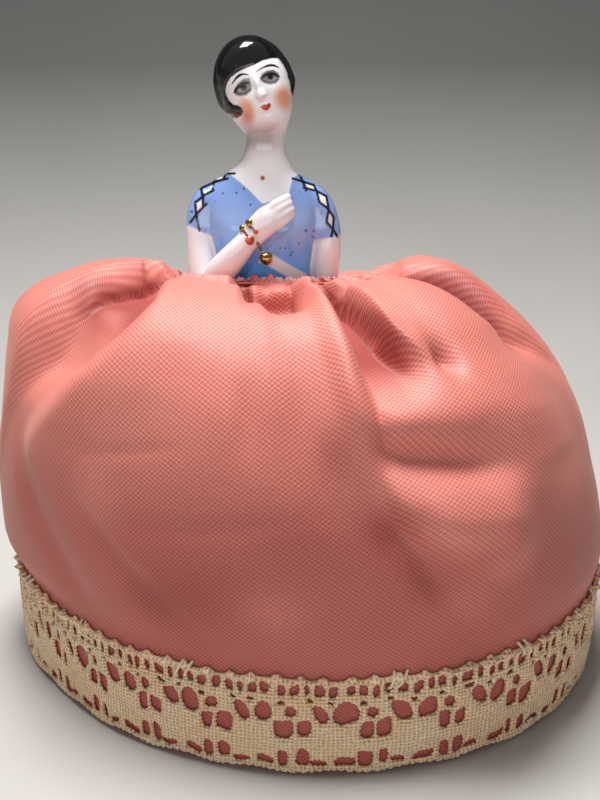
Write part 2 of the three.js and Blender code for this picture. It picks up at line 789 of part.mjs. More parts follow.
// Wadding pushed up the hollow body, inside the ring of thread loops
function torsoWadding() {
  const loopRoom = porcelainWall / 2 + anchorLoopRadius + anchorThreadRadius;
  const halfWidth = Math.min(waistHalfWidth - porcelainWall, rimHalfWidth - loopRoom) - 2 * clearance;
  const halfDepth = Math.min(waistHalfDepth - porcelainWall, rimHalfDepth - loopRoom) - 2 * clearance;
  const levels = [clearance, waistFrom, bustLevel];
  return loft(levels.map((level) => bodyRing([level, halfWidth, halfDepth, 0, 0], 0, hollowSides)));
}

const object = new THREE.Group();

function place(name, geometry, material, parent = object) {
  const mesh = new THREE.Mesh(geometry, material);
  mesh.name = name;
  parent.add(mesh);
}

const silkPink = cloth(0xe58f80);
const pinkCotton = cloth(0xeeb4b4);
const creamThread = cloth(0xd9c6a0);
const pinkThread = cloth(0xd98072);
const cotton = cloth(0xe6ddcc);

const doll = new THREE.Group();
doll.position.set(dollX, dollY, dollLevel);
object.add(doll);
place('half_doll', halfDoll(), glaze(0xf1e9ea), doll);
place('torso_wadding', torsoWadding(), cotton, doll);

const channels = [];
for (let index = 0; index < anchorCount; index += 1) {
  place(`anchor_stitch_${index + 1}`, anchorLoop(index, anchorThreadRadius), creamThread);
  channels.push(anchorLoop(index, anchorThreadRadius + clearance));
}
place('lining_bag', cut(liningBag(), channels), pinkCotton);
place('cushion_filling', cut(cushionFilling(), channels), cotton);
place('skirt', skirt(), silkPink);
place('gathering_thread', gatheringThread(), pinkThread);
place('hem_thread', hemThread(), pinkThread);
place('lace_trim', laceTrim(), cloth(0xdcc9a6));
for (let index = 0; index < tackCount; index += 1) {
  place(`lace_tack_${String(index + 1).padStart(2, '0')}`, laceTack(index), creamThread);
}
place('base_board', plate(silkThickness + 2 * clearance, boardLevel, baseBoardThickness), cloth(0xb09a78));
place('base_cloth', plate(baseClothInset, 0, baseClothThickness), pinkCotton);

export default object;
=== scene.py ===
import math

import bpy
import numpy as np
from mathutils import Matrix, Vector
from mathutils.bvhtree import BVHTree


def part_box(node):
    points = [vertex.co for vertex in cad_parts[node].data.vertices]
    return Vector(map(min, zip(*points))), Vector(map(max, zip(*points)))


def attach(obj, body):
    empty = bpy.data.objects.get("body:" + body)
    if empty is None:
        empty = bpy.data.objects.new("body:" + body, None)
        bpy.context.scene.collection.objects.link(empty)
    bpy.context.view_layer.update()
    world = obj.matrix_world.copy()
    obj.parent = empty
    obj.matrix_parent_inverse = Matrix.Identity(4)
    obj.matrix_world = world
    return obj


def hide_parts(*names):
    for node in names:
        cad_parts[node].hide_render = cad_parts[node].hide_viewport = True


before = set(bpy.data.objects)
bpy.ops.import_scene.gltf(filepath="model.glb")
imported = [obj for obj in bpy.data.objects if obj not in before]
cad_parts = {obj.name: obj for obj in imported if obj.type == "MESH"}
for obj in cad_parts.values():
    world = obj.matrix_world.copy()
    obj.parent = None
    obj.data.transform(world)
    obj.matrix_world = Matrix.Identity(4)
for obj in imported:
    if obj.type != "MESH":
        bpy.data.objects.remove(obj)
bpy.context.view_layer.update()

# Lengths are in millimetres here and become metres when a mesh is made.
# Angles run from the front (-Y) towards +X. A skirt part runs from 0 at the waist to 1 at the hem.
MM = 0.001
DEGREE = math.pi / 180

# Camera
CAMERA_PLACE = np.array([0.0, -372.0, 190.0])
CAMERA_PITCH = 16.64
FOCAL_PIXELS = 1250.0
FRAME_MIDDLE = np.array([300.0, 400.0])
LENS = 56.25
SENSOR = 36.0

# Cushion: its plan every 30 degrees from the back, its crown, waist, opening and hem
CLEARANCE = 0.3
SILK_THICKNESS = 0.8
PLAN_RADII = np.array([85, 87, 90, 89, 81.5, 81, 84, 88, 91, 93, 91.5, 87.5])
PLAN_STEP = 360 / len(PLAN_RADII)
HEM_TUCK = 0.025
CROWN_HEIGHT = 109.5
CROWN_FRONT_RISE = 3.0
CROWN_SIDE_RISE = 3.5
CROWN_REACH = 0.2
SHOULDER_POWER = 1.9
LEFT_SHOULDER_POWER = 1.0
RIGHT_SHOULDER_POWER = 0.15
CROWN_PART = 0.15
BULGE_PART = 0.75
WAIST_HEIGHT = 116.0
WAIST_FRONT_RISE = 2.6
OPENING_POWER = 2.6
OPENING_HALF_WIDTH = 26.5
OPENING_FRONT = 17.1
OPENING_BACK = 15.0
HEM_LEVEL = 0.9
HEM_TURN_UNDER = 14.0
BASE_INSET = 5.0
BULGE_HEIGHT = 33.9
RECESS_FLOOR = 100.0
DOLL_X = -11.0

# Lace
LACE_HEIGHT = 28.6
LACE_BOTTOM = 0.9
LACE_REPEATS = 25
LACE_REPEAT = 21.84
LACE_THICKNESS = 0.9
LACE_PHASE = 0.42

# Crests and hollows of the folds, in order round the front of the skirt. Each runs down from the
# waist through points of part, degrees and height over the cushion, and silk runs smoothly from line
# to line. A line that starts with a part other than 0 is the sharp foot of round puffs down to there.
FRONT_FOLDS = [
    # Crest of the left puff, the edge where it drops into the hollow, the foot of the drop and the floor
    (0, [
        (0, -106, 2), (0.03, -105, 6), (0.08, -104, 8), (0.16, -101, 9.4), (0.25, -98, 9.2),
        (0.33, -96, 9.4), (0.38, -95, 12), (0.42, -95, 13), (0.457, -95, 9.5), (0.5, -95, 6.5),
        (0.555, -95, 4.6), (0.615, -95, 6), (0.74, -95, 4.8), (0.8, -95, 4),
    ]),
    (0, [
        (0, -93, 6), (0.03, -93, 8), (0.072, -92.5, 9), (0.13, -91, 9.5), (0.2, -86, 9.7),
        (0.25, -82, 9.6), (0.31, -79, 9.8), (0.36, -77, 11), (0.4, -76.5, 11.5), (0.435, -76, 10.5),
        (0.463, -76, 9.5), (0.5, -77, 8), (0.55, -81, 6.5), (0.65, -86, 5.5), (0.75, -87, 4.5),
    ]),
    (0.33, [
        (0, -85, 0), (0.03, -85, -0.5), (0.072, -84, -0.8), (0.105, -82.5, -0.8), (0.15, -78.5, -0.8),
        (0.2, -74, -0.8), (0.253, -70.5, -0.5), (0.31, -68, 1), (0.36, -66, 1.5), (0.4, -65.5, 0.8),
        (0.44, -66.5, 1), (0.465, -68.5, 3.5), (0.5, -71, 6), (0.55, -76, 5.8), (0.65, -82, 5),
        (0.75, -84, 4),
    ]),
    (0.25, [
        (0, -64, 0), (0.03, -64, -0.5), (0.1, -59, -0.8), (0.163, -54, -0.8), (0.22, -49, -0.4),
        (0.278, -46.5, 1.5), (0.335, -48, 5), (0.38, -51, 5), (0.42, -56, 3), (0.455, -60.5, 4),
        (0.497, -65, 6.3), (0.56, -72, 6), (0.65, -78, 5), (0.75, -81, 3.8),
    ]),
    # Left edge of the front panel
    (0, [
        (0, -50, 4), (0.05, -48, 7), (0.1, -45.5, 9), (0.163, -42, 11), (0.22, -37.5, 12.8),
        (0.278, -34.5, 14), (0.338, -35, 15), (0.388, -38, 15.2), (0.435, -43.5, 14.5),
        (0.487, -50, 12.3), (0.522, -55.5, 10.5), (0.6, -63, 7), (0.75, -70, 3),
    ]),
    # Face of the front panel
    (0, [
        (0, -36, 8.5), (0.04, -35, 10), (0.1, -32, 11.5), (0.24, -24, 13.5), (0.345, -22, 14),
        (0.42, -23, 12.8), (0.49, -26, 10), (0.6, -30, 6), (0.75, -30, 1),
    ]),
    (0, [
        (0, -14, 9), (0.04, -13.5, 10.5), (0.1, -12.5, 11.3), (0.2, -11, 12.5), (0.27, -10.5, 13),
        (0.365, -11, 13.3), (0.435, -11.5, 12.3), (0.5, -12.5, 9.5), (0.6, -14, 5), (0.75, -14, 1),
    ]),
    # Slit beside the gathers
    (0.2, [
        (0, -9.5, 0), (0.03, -9.2, -0.6), (0.072, -8.8, -0.5), (0.12, -8.4, 2), (0.17, -8, 6.5),
        (0.21, -7.6, 10.4), (0.25, -7, 12.7), (0.365, -7, 12.8), (0.5, -8, 9.2), (0.6, -9, 5),
        (0.75, -9, 1),
    ]),
    (0, [
        (0, -5.5, 3), (0.05, -5, 4), (0.1, -4.5, 5), (0.158, -4, 7), (0.2, -3.7, 9.5),
        (0.24, -3.5, 11.5), (0.28, -3, 12.6), (0.365, -3, 12.3), (0.43, -3, 11), (0.5, -3, 8.7),
        (0.6, -2, 5), (0.75, -2, 1),
    ]),
    # Two sides of the dish under the gathers, which go on as a soft valley
    (0, [
        (0, 1, 0), (0.05, 1, 0.3), (0.11, 1, 0.5), (0.16, 0.7, 2), (0.2, 0.5, 5.5), (0.235, 0.3, 9.5),
        (0.265, 0.3, 11.8), (0.31, 1, 12), (0.365, 3, 11), (0.425, 3.2, 9.2), (0.492, 5.5, 7),
        (0.557, 9, 4), (0.615, 16, 2.5), (0.75, 17, 0.5),
    ]),
    (0.18, [
        (0, 11, 0), (0.05, 11, 0.3), (0.11, 10.5, 0.8), (0.16, 9.5, 3), (0.2, 8, 7), (0.235, 7, 11),
        (0.27, 7, 12.6), (0.31, 7, 12.8), (0.365, 8, 12), (0.425, 8.5, 10.5), (0.492, 10.5, 7.8),
        (0.557, 13.5, 4.6), (0.615, 20, 2.8), (0.75, 21, 0.5),
    ]),
    # Right edge of the front panel
    (0, [
        (0, 19, 4), (0.03, 19, 6.5), (0.072, 18, 9.8), (0.15, 15.5, 12.5), (0.233, 14, 14.5),
        (0.33, 13.5, 15.8), (0.388, 13, 15.3), (0.422, 14, 14.2), (0.455, 14.5, 11.8),
        (0.49, 14.5, 8.5), (0.53, 15, 5.5), (0.56, 17, 4), (0.615, 23, 2.5), (0.75, 27, 0.5),
    ]),
    # Two feet of the valley on its right
    (0.5, [
        (0, 23, 0), (0.03, 22.5, -0.5), (0.08, 21.5, -0.8), (0.15, 20, -0.5), (0.2, 18.5, 0),
        (0.25, 17.5, 1.5), (0.295, 16.9, 4.5), (0.33, 16.8, 7.5), (0.367, 16.5, 9.5), (0.42, 17, 11),
        (0.44, 17.5, 10.5), (0.465, 18, 8.5), (0.49, 17.5, 8), (0.52, 17.5, 9), (0.55, 19, 9.8),
        (0.58, 21, 8.5), (0.61, 24, 5), (0.65, 28, 2.5), (0.75, 31, 0.8),
    ]),
    (0.32, [
        (0, 32, 0), (0.03, 32, -0.5), (0.08, 31.5, -0.8), (0.15, 30.5, -0.8), (0.2, 28.7, -0.8),
        (0.25, 26.8, -0.5), (0.295, 26, 1), (0.33, 26, 4.5), (0.367, 25, 8), (0.4, 24, 11),
        (0.43, 23.5, 13.6), (0.445, 23.5, 13.6), (0.475, 24, 9), (0.5, 24, 8.6), (0.545, 25, 11.6),
        (0.58, 26.5, 12.4), (0.61, 29, 9.5), (0.65, 32, 4.5), (0.75, 35, 1),
    ]),
    # Sharp fold over the valley, the soft plate behind it and the plate's far edge
    (0, [
        (0, 37, 3), (0.015, 37, 4.5), (0.08, 36.5, 8), (0.15, 35, 10.5), (0.2, 32.5, 11.8),
        (0.25, 30.3, 12.5), (0.295, 29, 13.5), (0.32, 30, 14), (0.36, 34, 13), (0.4, 33.5, 13.3),
        (0.435, 33, 14), (0.455, 32.8, 13.4), (0.485, 33, 9.6), (0.51, 33.5, 9), (0.555, 34.5, 12),
        (0.59, 36, 12.8), (0.62, 37.5, 10.2), (0.66, 39, 5), (0.75, 40, 1.2),
    ]),
    (0, [
        (0, 43, 4), (0.03, 43, 6), (0.1, 42, 9), (0.19, 40, 11), (0.26, 38.5, 12.3), (0.31, 39, 12.5),
        (0.352, 42, 12.5), (0.4, 43, 13), (0.445, 43, 13.3), (0.47, 43, 12.4), (0.51, 43.5, 10.5),
        (0.56, 44.5, 9.6), (0.6, 45, 8), (0.65, 45, 5), (0.75, 46, 1.5),
    ]),
    (0, [
        (0, 55, 3.5), (0.037, 55, 5), (0.1, 52, 7.5), (0.19, 46.5, 10.5), (0.26, 44, 12.8),
        (0.305, 45.5, 13), (0.345, 49.5, 12.3), (0.37, 53, 11.5), (0.417, 64, 10), (0.47, 70, 7.5),
        (0.55, 72, 4.5), (0.75, 72, 1.5),
    ]),
    # Foot of the right hollow, then the edge and the crest of the right puff
    (0.36, [
        (0, 80, 0), (0.04, 81, -0.5), (0.1, 82, -0.8), (0.15, 80, -0.8), (0.205, 77, -0.8),
        (0.247, 74, -0.8), (0.295, 71, 0.5), (0.348, 69.5, 3.5), (0.4, 73.5, 7), (0.45, 79, 7.5),
        (0.5, 82, 6), (0.6, 83, 3), (0.75, 83, 1.2),
    ]),
    (0, [
        (0, 90, 0), (0.04, 90, 2), (0.1, 90, 5), (0.15, 88.5, 8.5), (0.205, 85.5, 11),
        (0.247, 82, 10.8), (0.295, 79, 9.8), (0.348, 77.5, 9.2), (0.4, 79, 8.5), (0.45, 84, 7.5),
        (0.5, 87, 5.5), (0.6, 88, 3), (0.75, 88, 1.2),
    ]),
    (0, [
        (0, 99, 0), (0.06, 99, 3), (0.14, 98, 8.3), (0.173, 97, 11), (0.235, 96, 11), (0.315, 95, 8.4),
        (0.405, 94, 8), (0.47, 94, 6), (0.555, 94, 3.6), (0.67, 94, 1.8), (0.775, 94, 1),
    ]),
]
# Folds of the back, alternately hollow and crest: part and height
BACK_FOLDS = 11
BACK_FROM = 106
BACK_TO = 246
BACK_DRIFT = 9
BACK_UNEVEN = 0.18
BACK_SHARP = 0.3
BACK_HOLLOW = [(0, 0), (0.03, 0), (0.1, 0.5), (0.2, 1.5), (0.35, 4.5), (0.5, 5.5), (0.75, 2)]
BACK_CREST = [(0, 0), (0.03, 3), (0.1, 5.5), (0.2, 9), (0.35, 11), (0.5, 8), (0.75, 2.5)]
# Lines pressed across the silk: degrees and parts from end to end, depth, half widths above and below
PRESSED = [
    (-50, -16, 0.53, 0.475, 0.5, 0.007, 0.007), (-40, 6, 0.602, 0.557, 0.6, 0.011, 0.014),
    (10, 45, 0.445, 0.53, 2.4, 0.014, 0.025), (6, 38, 0.477, 0.777, 1.7, 0.04, 0.045),
    (-74, -34, 0.54, 0.81, 2.2, 0.05, 0.05), (-52, -8, 0.55, 0.79, 1.8, 0.022, 0.036),
]
PRESSED_FADE_IN = 0.3
PRESSED_FADE_OUT = 0.55
PRESSED_WAVER = 0.0015
# Soft dents and swellings: degrees, part, height, half width in degrees, half width as a part
BUMPS = [
    (36.5, 0.352, -5, 3, 0.03), (5, 0.035, 3.8, 9, 0.03), (23, 0.032, 3.4, 8, 0.03),
    (-5.5, 0.05, -3, 2.2, 0.04),
]
# The silk lies flat again where the lace covers it
WALL_FROM = 0.725
WALL_TO = 0.778
# Parts at which a fold's line is kept, and how many of them each of its corners is rounded over
PART_STEPS = np.linspace(0, 1, 201)
PART_SOFTENING = 11
# Sharp hollows: strength, and how far before and after its end a hollow eases
SHARPNESS = 0.9
SHARP_BEFORE = 0.05
SHARP_AFTER = 0.03
# Part below the waist where the folds reach their full height
FOLDS_FULL = 0.02


def smooth(value, low, high):
    share = np.clip((value - low) / (high - low), 0, 1)
    return share * share * (3 - 2 * share)


def wrapped(angle):
    return (angle + math.pi) % (2 * math.pi) - math.pi


def bell(angle, degrees, wide, part=0.0, middle=0.0, tall=1.0):
    """Soft mound of height 1 round an angle, and round a part too if one is given."""
    across = wrapped(angle - degrees * DEGREE) / (wide * DEGREE)
    return np.exp(-(across**2) - ((part - middle) / tall) ** 2)


def outwards(angle):
    """Level direction away from the middle of the cushion."""
    return np.stack([np.sin(angle), -np.cos(angle), 0 * angle], -1)


def squared_circle(angle, power):
    """Sine and cosine of a circle pushed out towards a rectangle's corners."""
    across = np.sign(np.sin(angle)) * np.abs(np.sin(angle)) ** (2 / power)
    along = np.sign(np.cos(angle)) * np.abs(np.cos(angle)) ** (2 / power)
    return across, along


def cubic(before, start, stop, after, share):
    """Smooth way from start to stop, with its slopes set by the values on either side."""
    slope_start = (stop - before) / 2
    slope_stop = (after - start) / 2
    bend = 2 * start - 2 * stop + slope_start + slope_stop
    turn = -3 * start + 3 * stop - 2 * slope_start - slope_stop
    return ((bend * share + turn) * share + slope_start) * share + start


def plan_radius(angle):
    """Distance of the cushion's widest outline from its middle."""
    place = ((angle / DEGREE + 180) % 360) / PLAN_STEP
    index = np.floor(place).astype(int)
    corners = [PLAN_RADII[(index + step) % len(PLAN_RADII)] for step in (-1, 0, 1, 2)]
    return cubic(*corners, place - index)


def waist_level(angle):
    return WAIST_HEIGHT + WAIST_FRONT_RISE * np.cos(angle)


def crown_level(angle):
    return CROWN_HEIGHT + CROWN_FRONT_RISE * np.cos(angle) - CROWN_SIDE_RISE * np.cos(2 * angle)


def opening_point(angle, inset, height):
    across, along = squared_circle(angle, OPENING_POWER)
    half_depth = np.where(np.cos(angle) > 0, OPENING_FRONT, OPENING_BACK)
    x = DOLL_X + (OPENING_HALF_WIDTH - inset) * across
    y = -(half_depth - inset) * along
    return np.stack([x, y, height + 0 * angle], -1)


def cushion_point(angle, part):
    side = np.sin(angle)
    power = SHOULDER_POWER + LEFT_SHOULDER_POWER * np.clip(-side, 0, 1) ** 2
    power = power - RIGHT_SHOULDER_POWER * np.clip(side, 0, 1)
    neck = np.clip(part / CROWN_PART, 0, 1)
    sweep = np.clip((part - CROWN_PART) / (BULGE_PART - CROWN_PART), 0, 1) * math.pi / 2
    wall = np.clip((part - BULGE_PART) / (1 - BULGE_PART), 0, 1)
    across = np.sin(sweep)
    up = np.cos(sweep)
    stretch = (across**power + up**power) ** (-1 / power)
    crown = crown_level(angle)
    waist = waist_level(angle)
    reach = CROWN_REACH + (1 - CROWN_REACH) * across * stretch
    reach = np.where(part < CROWN_PART, CROWN_REACH * neck, reach)
    reach = np.where(part < BULGE_PART, reach, 1 - HEM_TUCK * wall**2)
    dome = BULGE_HEIGHT + (crown - BULGE_HEIGHT) * up * stretch
    height = np.where(part < CROWN_PART, waist + (crown - waist) * np.sin(neck * math.pi / 2), dome)
    height = np.where(part < BULGE_PART, height, BULGE_HEIGHT + (HEM_LEVEL - BULGE_HEIGHT) * wall)
    inner = opening_point(angle, 0, height)
    radius = plan_radius(angle)
    outer = np.stack([radius * np.sin(angle), -radius * np.cos(angle), height], -1)
    return inner + (outer - inner) * reach[..., None]


def cushion_normal(angle, part):
    step = 0.002
    above = cushion_point(angle, np.maximum(part - step, 0))
    below = cushion_point(angle, np.minimum(part + step, 1))
    beside = cushion_point(angle + step, part) - cushion_point(angle - step, part)
    normal = -np.cross(beside, below - above)
    return normal / np.linalg.norm(normal, axis=-1, keepdims=True)


def softened(parts, values):
    """Values along a fold at PART_STEPS, with the corners between its points rounded."""
    window = np.hanning(PART_SOFTENING)
    steps = np.interp(PART_STEPS, parts, values)
    padded = np.pad(steps, PART_SOFTENING // 2, mode="edge")
    return np.convolve(padded, window / window.sum(), "valid")


def back_folds():
    made = []
    for index in range(BACK_FOLDS):
        hollow = index % 2 == 0
        degrees = BACK_FROM + (BACK_TO - BACK_FROM) * index / (BACK_FOLDS - 1)
        drift = BACK_DRIFT * math.sin(2.3 * index)
        strength = 1 + BACK_UNEVEN * math.sin(1.7 * index + 1)
        heights = BACK_HOLLOW if hollow else BACK_CREST
        line = [(part, degrees + drift * part, height * strength) for part, height in heights]
        made.append((BACK_SHARP if hollow else 0, line))
    return made


def fold_lines():
    """Sharpness, degrees, heights and slopes at PART_STEPS of all folds, in order round the skirt."""
    sharps = []
    degrees = []
    heights = []
    for sharp_to, line in FRONT_FOLDS + back_folds():
        parts, turns, rises = zip(*line)
        sharp = SHARPNESS * (1 - smooth(PART_STEPS, sharp_to - SHARP_BEFORE, sharp_to + SHARP_AFTER))
        sharps.append(sharp if sharp_to else 0 * PART_STEPS)
        degrees.append(softened(parts, turns))
        heights.append(softened(parts, rises))
    degrees = np.array(degrees)
    heights = np.array(heights)
    gaps = np.roll(degrees, -1, axis=0) - degrees
    gaps[-1] += 360
    ahead = (np.roll(heights, -1, axis=0) - heights) / gaps
    behind = np.roll(ahead, 1, axis=0)
    both = np.where(ahead * behind > 0, ahead * behind, 0)
    slopes = 2 * both / np.where(both > 0, ahead + behind, 1)
    return sharps, degrees, heights, slopes


def swung(angle, part):
    """Height of the folds, from the two lines that a point lies between."""
    sharps, degrees, heights, slopes = fold_lines()

    def along(values):
        return np.interp(part, PART_STEPS, values)

    turn = (angle / DEGREE - along(degrees[0])) % 360
    made = np.zeros(np.shape(turn))
    for index in range(len(degrees)):
        after = (index + 1) % len(degrees)
        start = along(degrees[index] - degrees[0])
        stop = along(degrees[after] - degrees[0]) + (360 if after == 0 else 0)
        gap = stop - start
        share = np.clip((turn - start) / gap, 0, 1)
        rest = 1 - share
        near = along(heights[index])
        far = along(heights[after])
        lean = along(slopes[index]) * rest - along(slopes[after]) * share
        soft = near * (1 + 2 * share) * rest**2 + far * (1 + 2 * rest) * share**2
        soft = soft + gap * lean * share * rest
        rising = far > near
        puff_up = near + (far - near) * np.sqrt(1 - rest**2)
        puff_down = far + (near - far) * np.sqrt(1 - share**2)
        puff = np.where(rising, puff_up, puff_down)
        sharp = np.where(rising, along(sharps[index]), along(sharps[after]))
        between = (turn >= start) & (turn < stop)
        made = np.where(between, soft * (1 - sharp) + puff * sharp, made)
    return made


# Where the drawn-up silk shows its pleats: degrees, half width and strength
PLEATED = [(4, 12, 0.25), (33, 10, 0.8), (60, 14, 0.4), (180, 70, 0.5)]
PLEATED_LEAST = 0.12
PLEATS = 37
NARROW_PLEATS = 61
# How far the pleats run down: height at the waist, gain, part where they are full and parts where they fade
PLEAT_TOP = 0.6
PLEAT_GAIN = 0.9
PLEAT_FULL = 0.04
PLEAT_FADE = (0.06, 0.2)


def gathers(angle):
    """Uneven ripple of the drawn-up silk, about one pleat every 3 mm of the waist."""
    slow = 1.3 * np.sin(3 * angle + 0.6) + 0.8 * np.sin(5 * angle + 2.0)
    wide = np.sin(PLEATS * angle + 2.2 * slow) * (0.7 + 0.3 * np.sin(7 * angle + 1.0))
    narrow = 0.35 * np.sin(NARROW_PLEATS * angle + 3 * slow)
    shown = PLEATED_LEAST
    for degrees, half_width, strength in PLEATED:
        shown = shown + strength * bell(angle, degrees, half_width)
    return shown * (wide + narrow)


def fold_height(angle, part):
    """How far the silk stands out from the cushion: folds, swellings, pressed lines and pleats."""
    height = swung(angle, part) * smooth(part, 0, FOLDS_FULL)
    for degrees, middle, rise, wide, tall in BUMPS:
        height = height + rise * bell(angle, degrees, wide, part, middle, tall)
    for start, stop, part_start, part_stop, depth, above, below in PRESSED:
        share = (wrapped(angle) / DEGREE - start) / (stop - start)
        shown = smooth(share, 0, PRESSED_FADE_IN) * (1 - smooth(share, PRESSED_FADE_OUT, 1))
        line = part_start + (part_stop - part_start) * share + PRESSED_WAVER * np.sin(6 * share)
        wide = np.where(part < line, above, below)
        height = height - depth * shown * np.exp(-(((part - line) / wide) ** 2))
    height = height * (1 - smooth(part, WALL_FROM, WALL_TO))
    pleats = gathers(angle) * (PLEAT_TOP + PLEAT_GAIN * smooth(part, 0, PLEAT_FULL))
    return height + pleats * (1 - smooth(part, *PLEAT_FADE))


# Painted shade darkens the silk in the hollows: the span they are compared over in degrees
# and parts, how far they lie below it, and the parts where this fades
HOLLOW_SHADE_TURN = 12
HOLLOW_SHADE_PART = 0.06
HOLLOW_SHADE_LEAST = -0.3
HOLLOW_SHADE_DEPTH = 3.4
HOLLOW_SHADE_FADE = (0.3, 0.42)
# Painted shade on the lower wall and under the lace: strength, and the parts where it comes in
LOWER_WALL_SHADE = 0.6
LOWER_WALL_SHADE_FADE = (0.44, 0.64)
UNDER_LACE_SHADE = 0.85
UNDER_LACE_SHADE_FADE = (0.787, 0.797)
# Painted shade where strength is positive and painted light where it is negative, on the silk:
# degrees, part, half width in degrees, half width as a part, strength
PAINTED_SHADE_AND_LIGHT = [
    (27.5, 0.27, 2.6, 0.08, 1.1), (2, 0.12, 10, 0.1, -0.6), (-5, 0.055, 2.5, 0.045, 1.0),
    (-73, 0.29, 5, 0.05, 0.8), (-81.5, 0.12, 6, 0.05, 0.5), (78.5, 0.21, 5, 0.05, 1.0),
    (74, 0.28, 5, 0.05, 0.7), (72.5, 0.36, 6, 0.04, -0.4), (-66, 0.2, 6, 0.06, 0.4),
    (34, 0.045, 5, 0.03, 0.5), (-78, 0.44, 9, 0.06, -0.3), (-64, 0.5, 9, 0.05, -0.4),
    (-40, 0.56, 6, 0.05, -0.3), (-2, 0.42, 6, 0.04, 0.25), (8, 0.47, 4, 0.035, 0.5),
    (2, 0.57, 10, 0.05, 0.25), (16, 0.575, 4, 0.03, 0.4), (18, 0.515, 4, 0.03, -0.4),
    (31, 0.54, 10, 0.05, -0.5), (29, 0.59, 8, 0.03, -0.5), (58, 0.56, 9, 0.06, -0.5),
    (-17, 0.67, 10, 0.05, 0.2), (-27, 0.69, 7, 0.03, 0.2), (-4.8, 0.68, 6, 0.03, -0.3),
    (26.5, 0.695, 6, 0.03, -0.4), (36.5, 0.65, 6, 0.03, -0.3),
]


def blurred(values, width, axis, closed):
    """Values averaged along one axis under a bell of the given width in steps."""
    reach = int(3 * width)
    weights = np.exp(-0.5 * (np.arange(-reach, reach + 1) / width) ** 2)
    ends = [(reach, reach) if index == axis else (0, 0) for index in range(2)]
    padded = np.pad(values, ends, mode="wrap" if closed else "edge")
    return np.apply_along_axis(np.convolve, axis, padded, weights / weights.sum(), "valid")


def painted_silk_shade(angle, part):
    """How much painted shade darkens the silk, from 0 to 1, over rows of parts and a ring of even angles:
    most in the hollows, more on the lower wall and under the lace, less where painted light pales it."""
    height = fold_height(angle, part)
    steps = height.shape
    level = blurred(height, HOLLOW_SHADE_TURN * steps[1] / 360, 1, True)
    level = blurred(level, HOLLOW_SHADE_PART * steps[0], 0, False)
    made = smooth(level - height, HOLLOW_SHADE_LEAST, HOLLOW_SHADE_DEPTH) * (1 - smooth(part, *HOLLOW_SHADE_FADE))
    made = np.maximum(made, LOWER_WALL_SHADE * smooth(part, *LOWER_WALL_SHADE_FADE))
    for degrees, middle, wide, tall, strength in PAINTED_SHADE_AND_LIGHT:
        made = made + strength * bell(angle, degrees, wide, part, middle, tall)
    return np.clip(np.maximum(made, UNDER_LACE_SHADE * smooth(part, *UNDER_LACE_SHADE_FADE)), 0, 1)


def linked(name, data):
    made = bpy.data.objects.new(name, data)
    bpy.context.scene.collection.objects.link(made)
    return made


def removed(made):
    mesh = made.data
    bpy.data.objects.remove(made)
    bpy.data.meshes.remove(mesh)


def mesh_object(name, points, faces, material):
    mesh = bpy.data.meshes.new(name)
    mesh.from_pydata((np.asarray(points, float) * MM).tolist(), [], faces)
    mesh.update()
    mesh.polygons.foreach_set("use_smooth", [True] * len(mesh.polygons))
    if material is not None:
        mesh.materials.append(material)
    return linked(name, mesh)


def grid_faces(rows, columns, closed=True, flipped=False):
    """Four-sided faces over a grid of rows by columns, whose columns may close into a ring."""
    starts = np.arange(columns if closed else columns - 1)
    row, column = np.meshgrid(np.arange(rows - 1), starts, indexing="ij")
    beside = (column + 1) % columns
    here = row * columns
    below = here + columns
    corners = [here + column, here + beside, below + beside, below + column]
    if flipped:
        corners.reverse()
    return np.stack([corner.ravel() for corner in corners], -1).tolist()


def set_uv(made, across, along):
    """Cloth coordinates in millimetres for every corner, from a value at each point."""
    layer = made.data.uv_layers.new(name="cloth")
    index = np.zeros(len(made.data.loops), int)
    made.data.loops.foreach_get("vertex_index", index)
    layer.data.foreach_set("uv", np.stack([across[index], along[index]], -1).ravel())


def set_values(made, name, values):
    """One number for every point, which a material reads by name."""
    layer = made.data.attributes.new(name, "FLOAT", "POINT")
    layer.data.foreach_set("value", np.asarray(values, float).ravel())


def srgb(red, green, blue):
    value = np.array([red, green, blue]) / 255
    linear = np.where(value <= 0.04045, value / 12.92, ((value + 0.055) / 1.055) ** 2.4)
    return (*linear, 1.0)


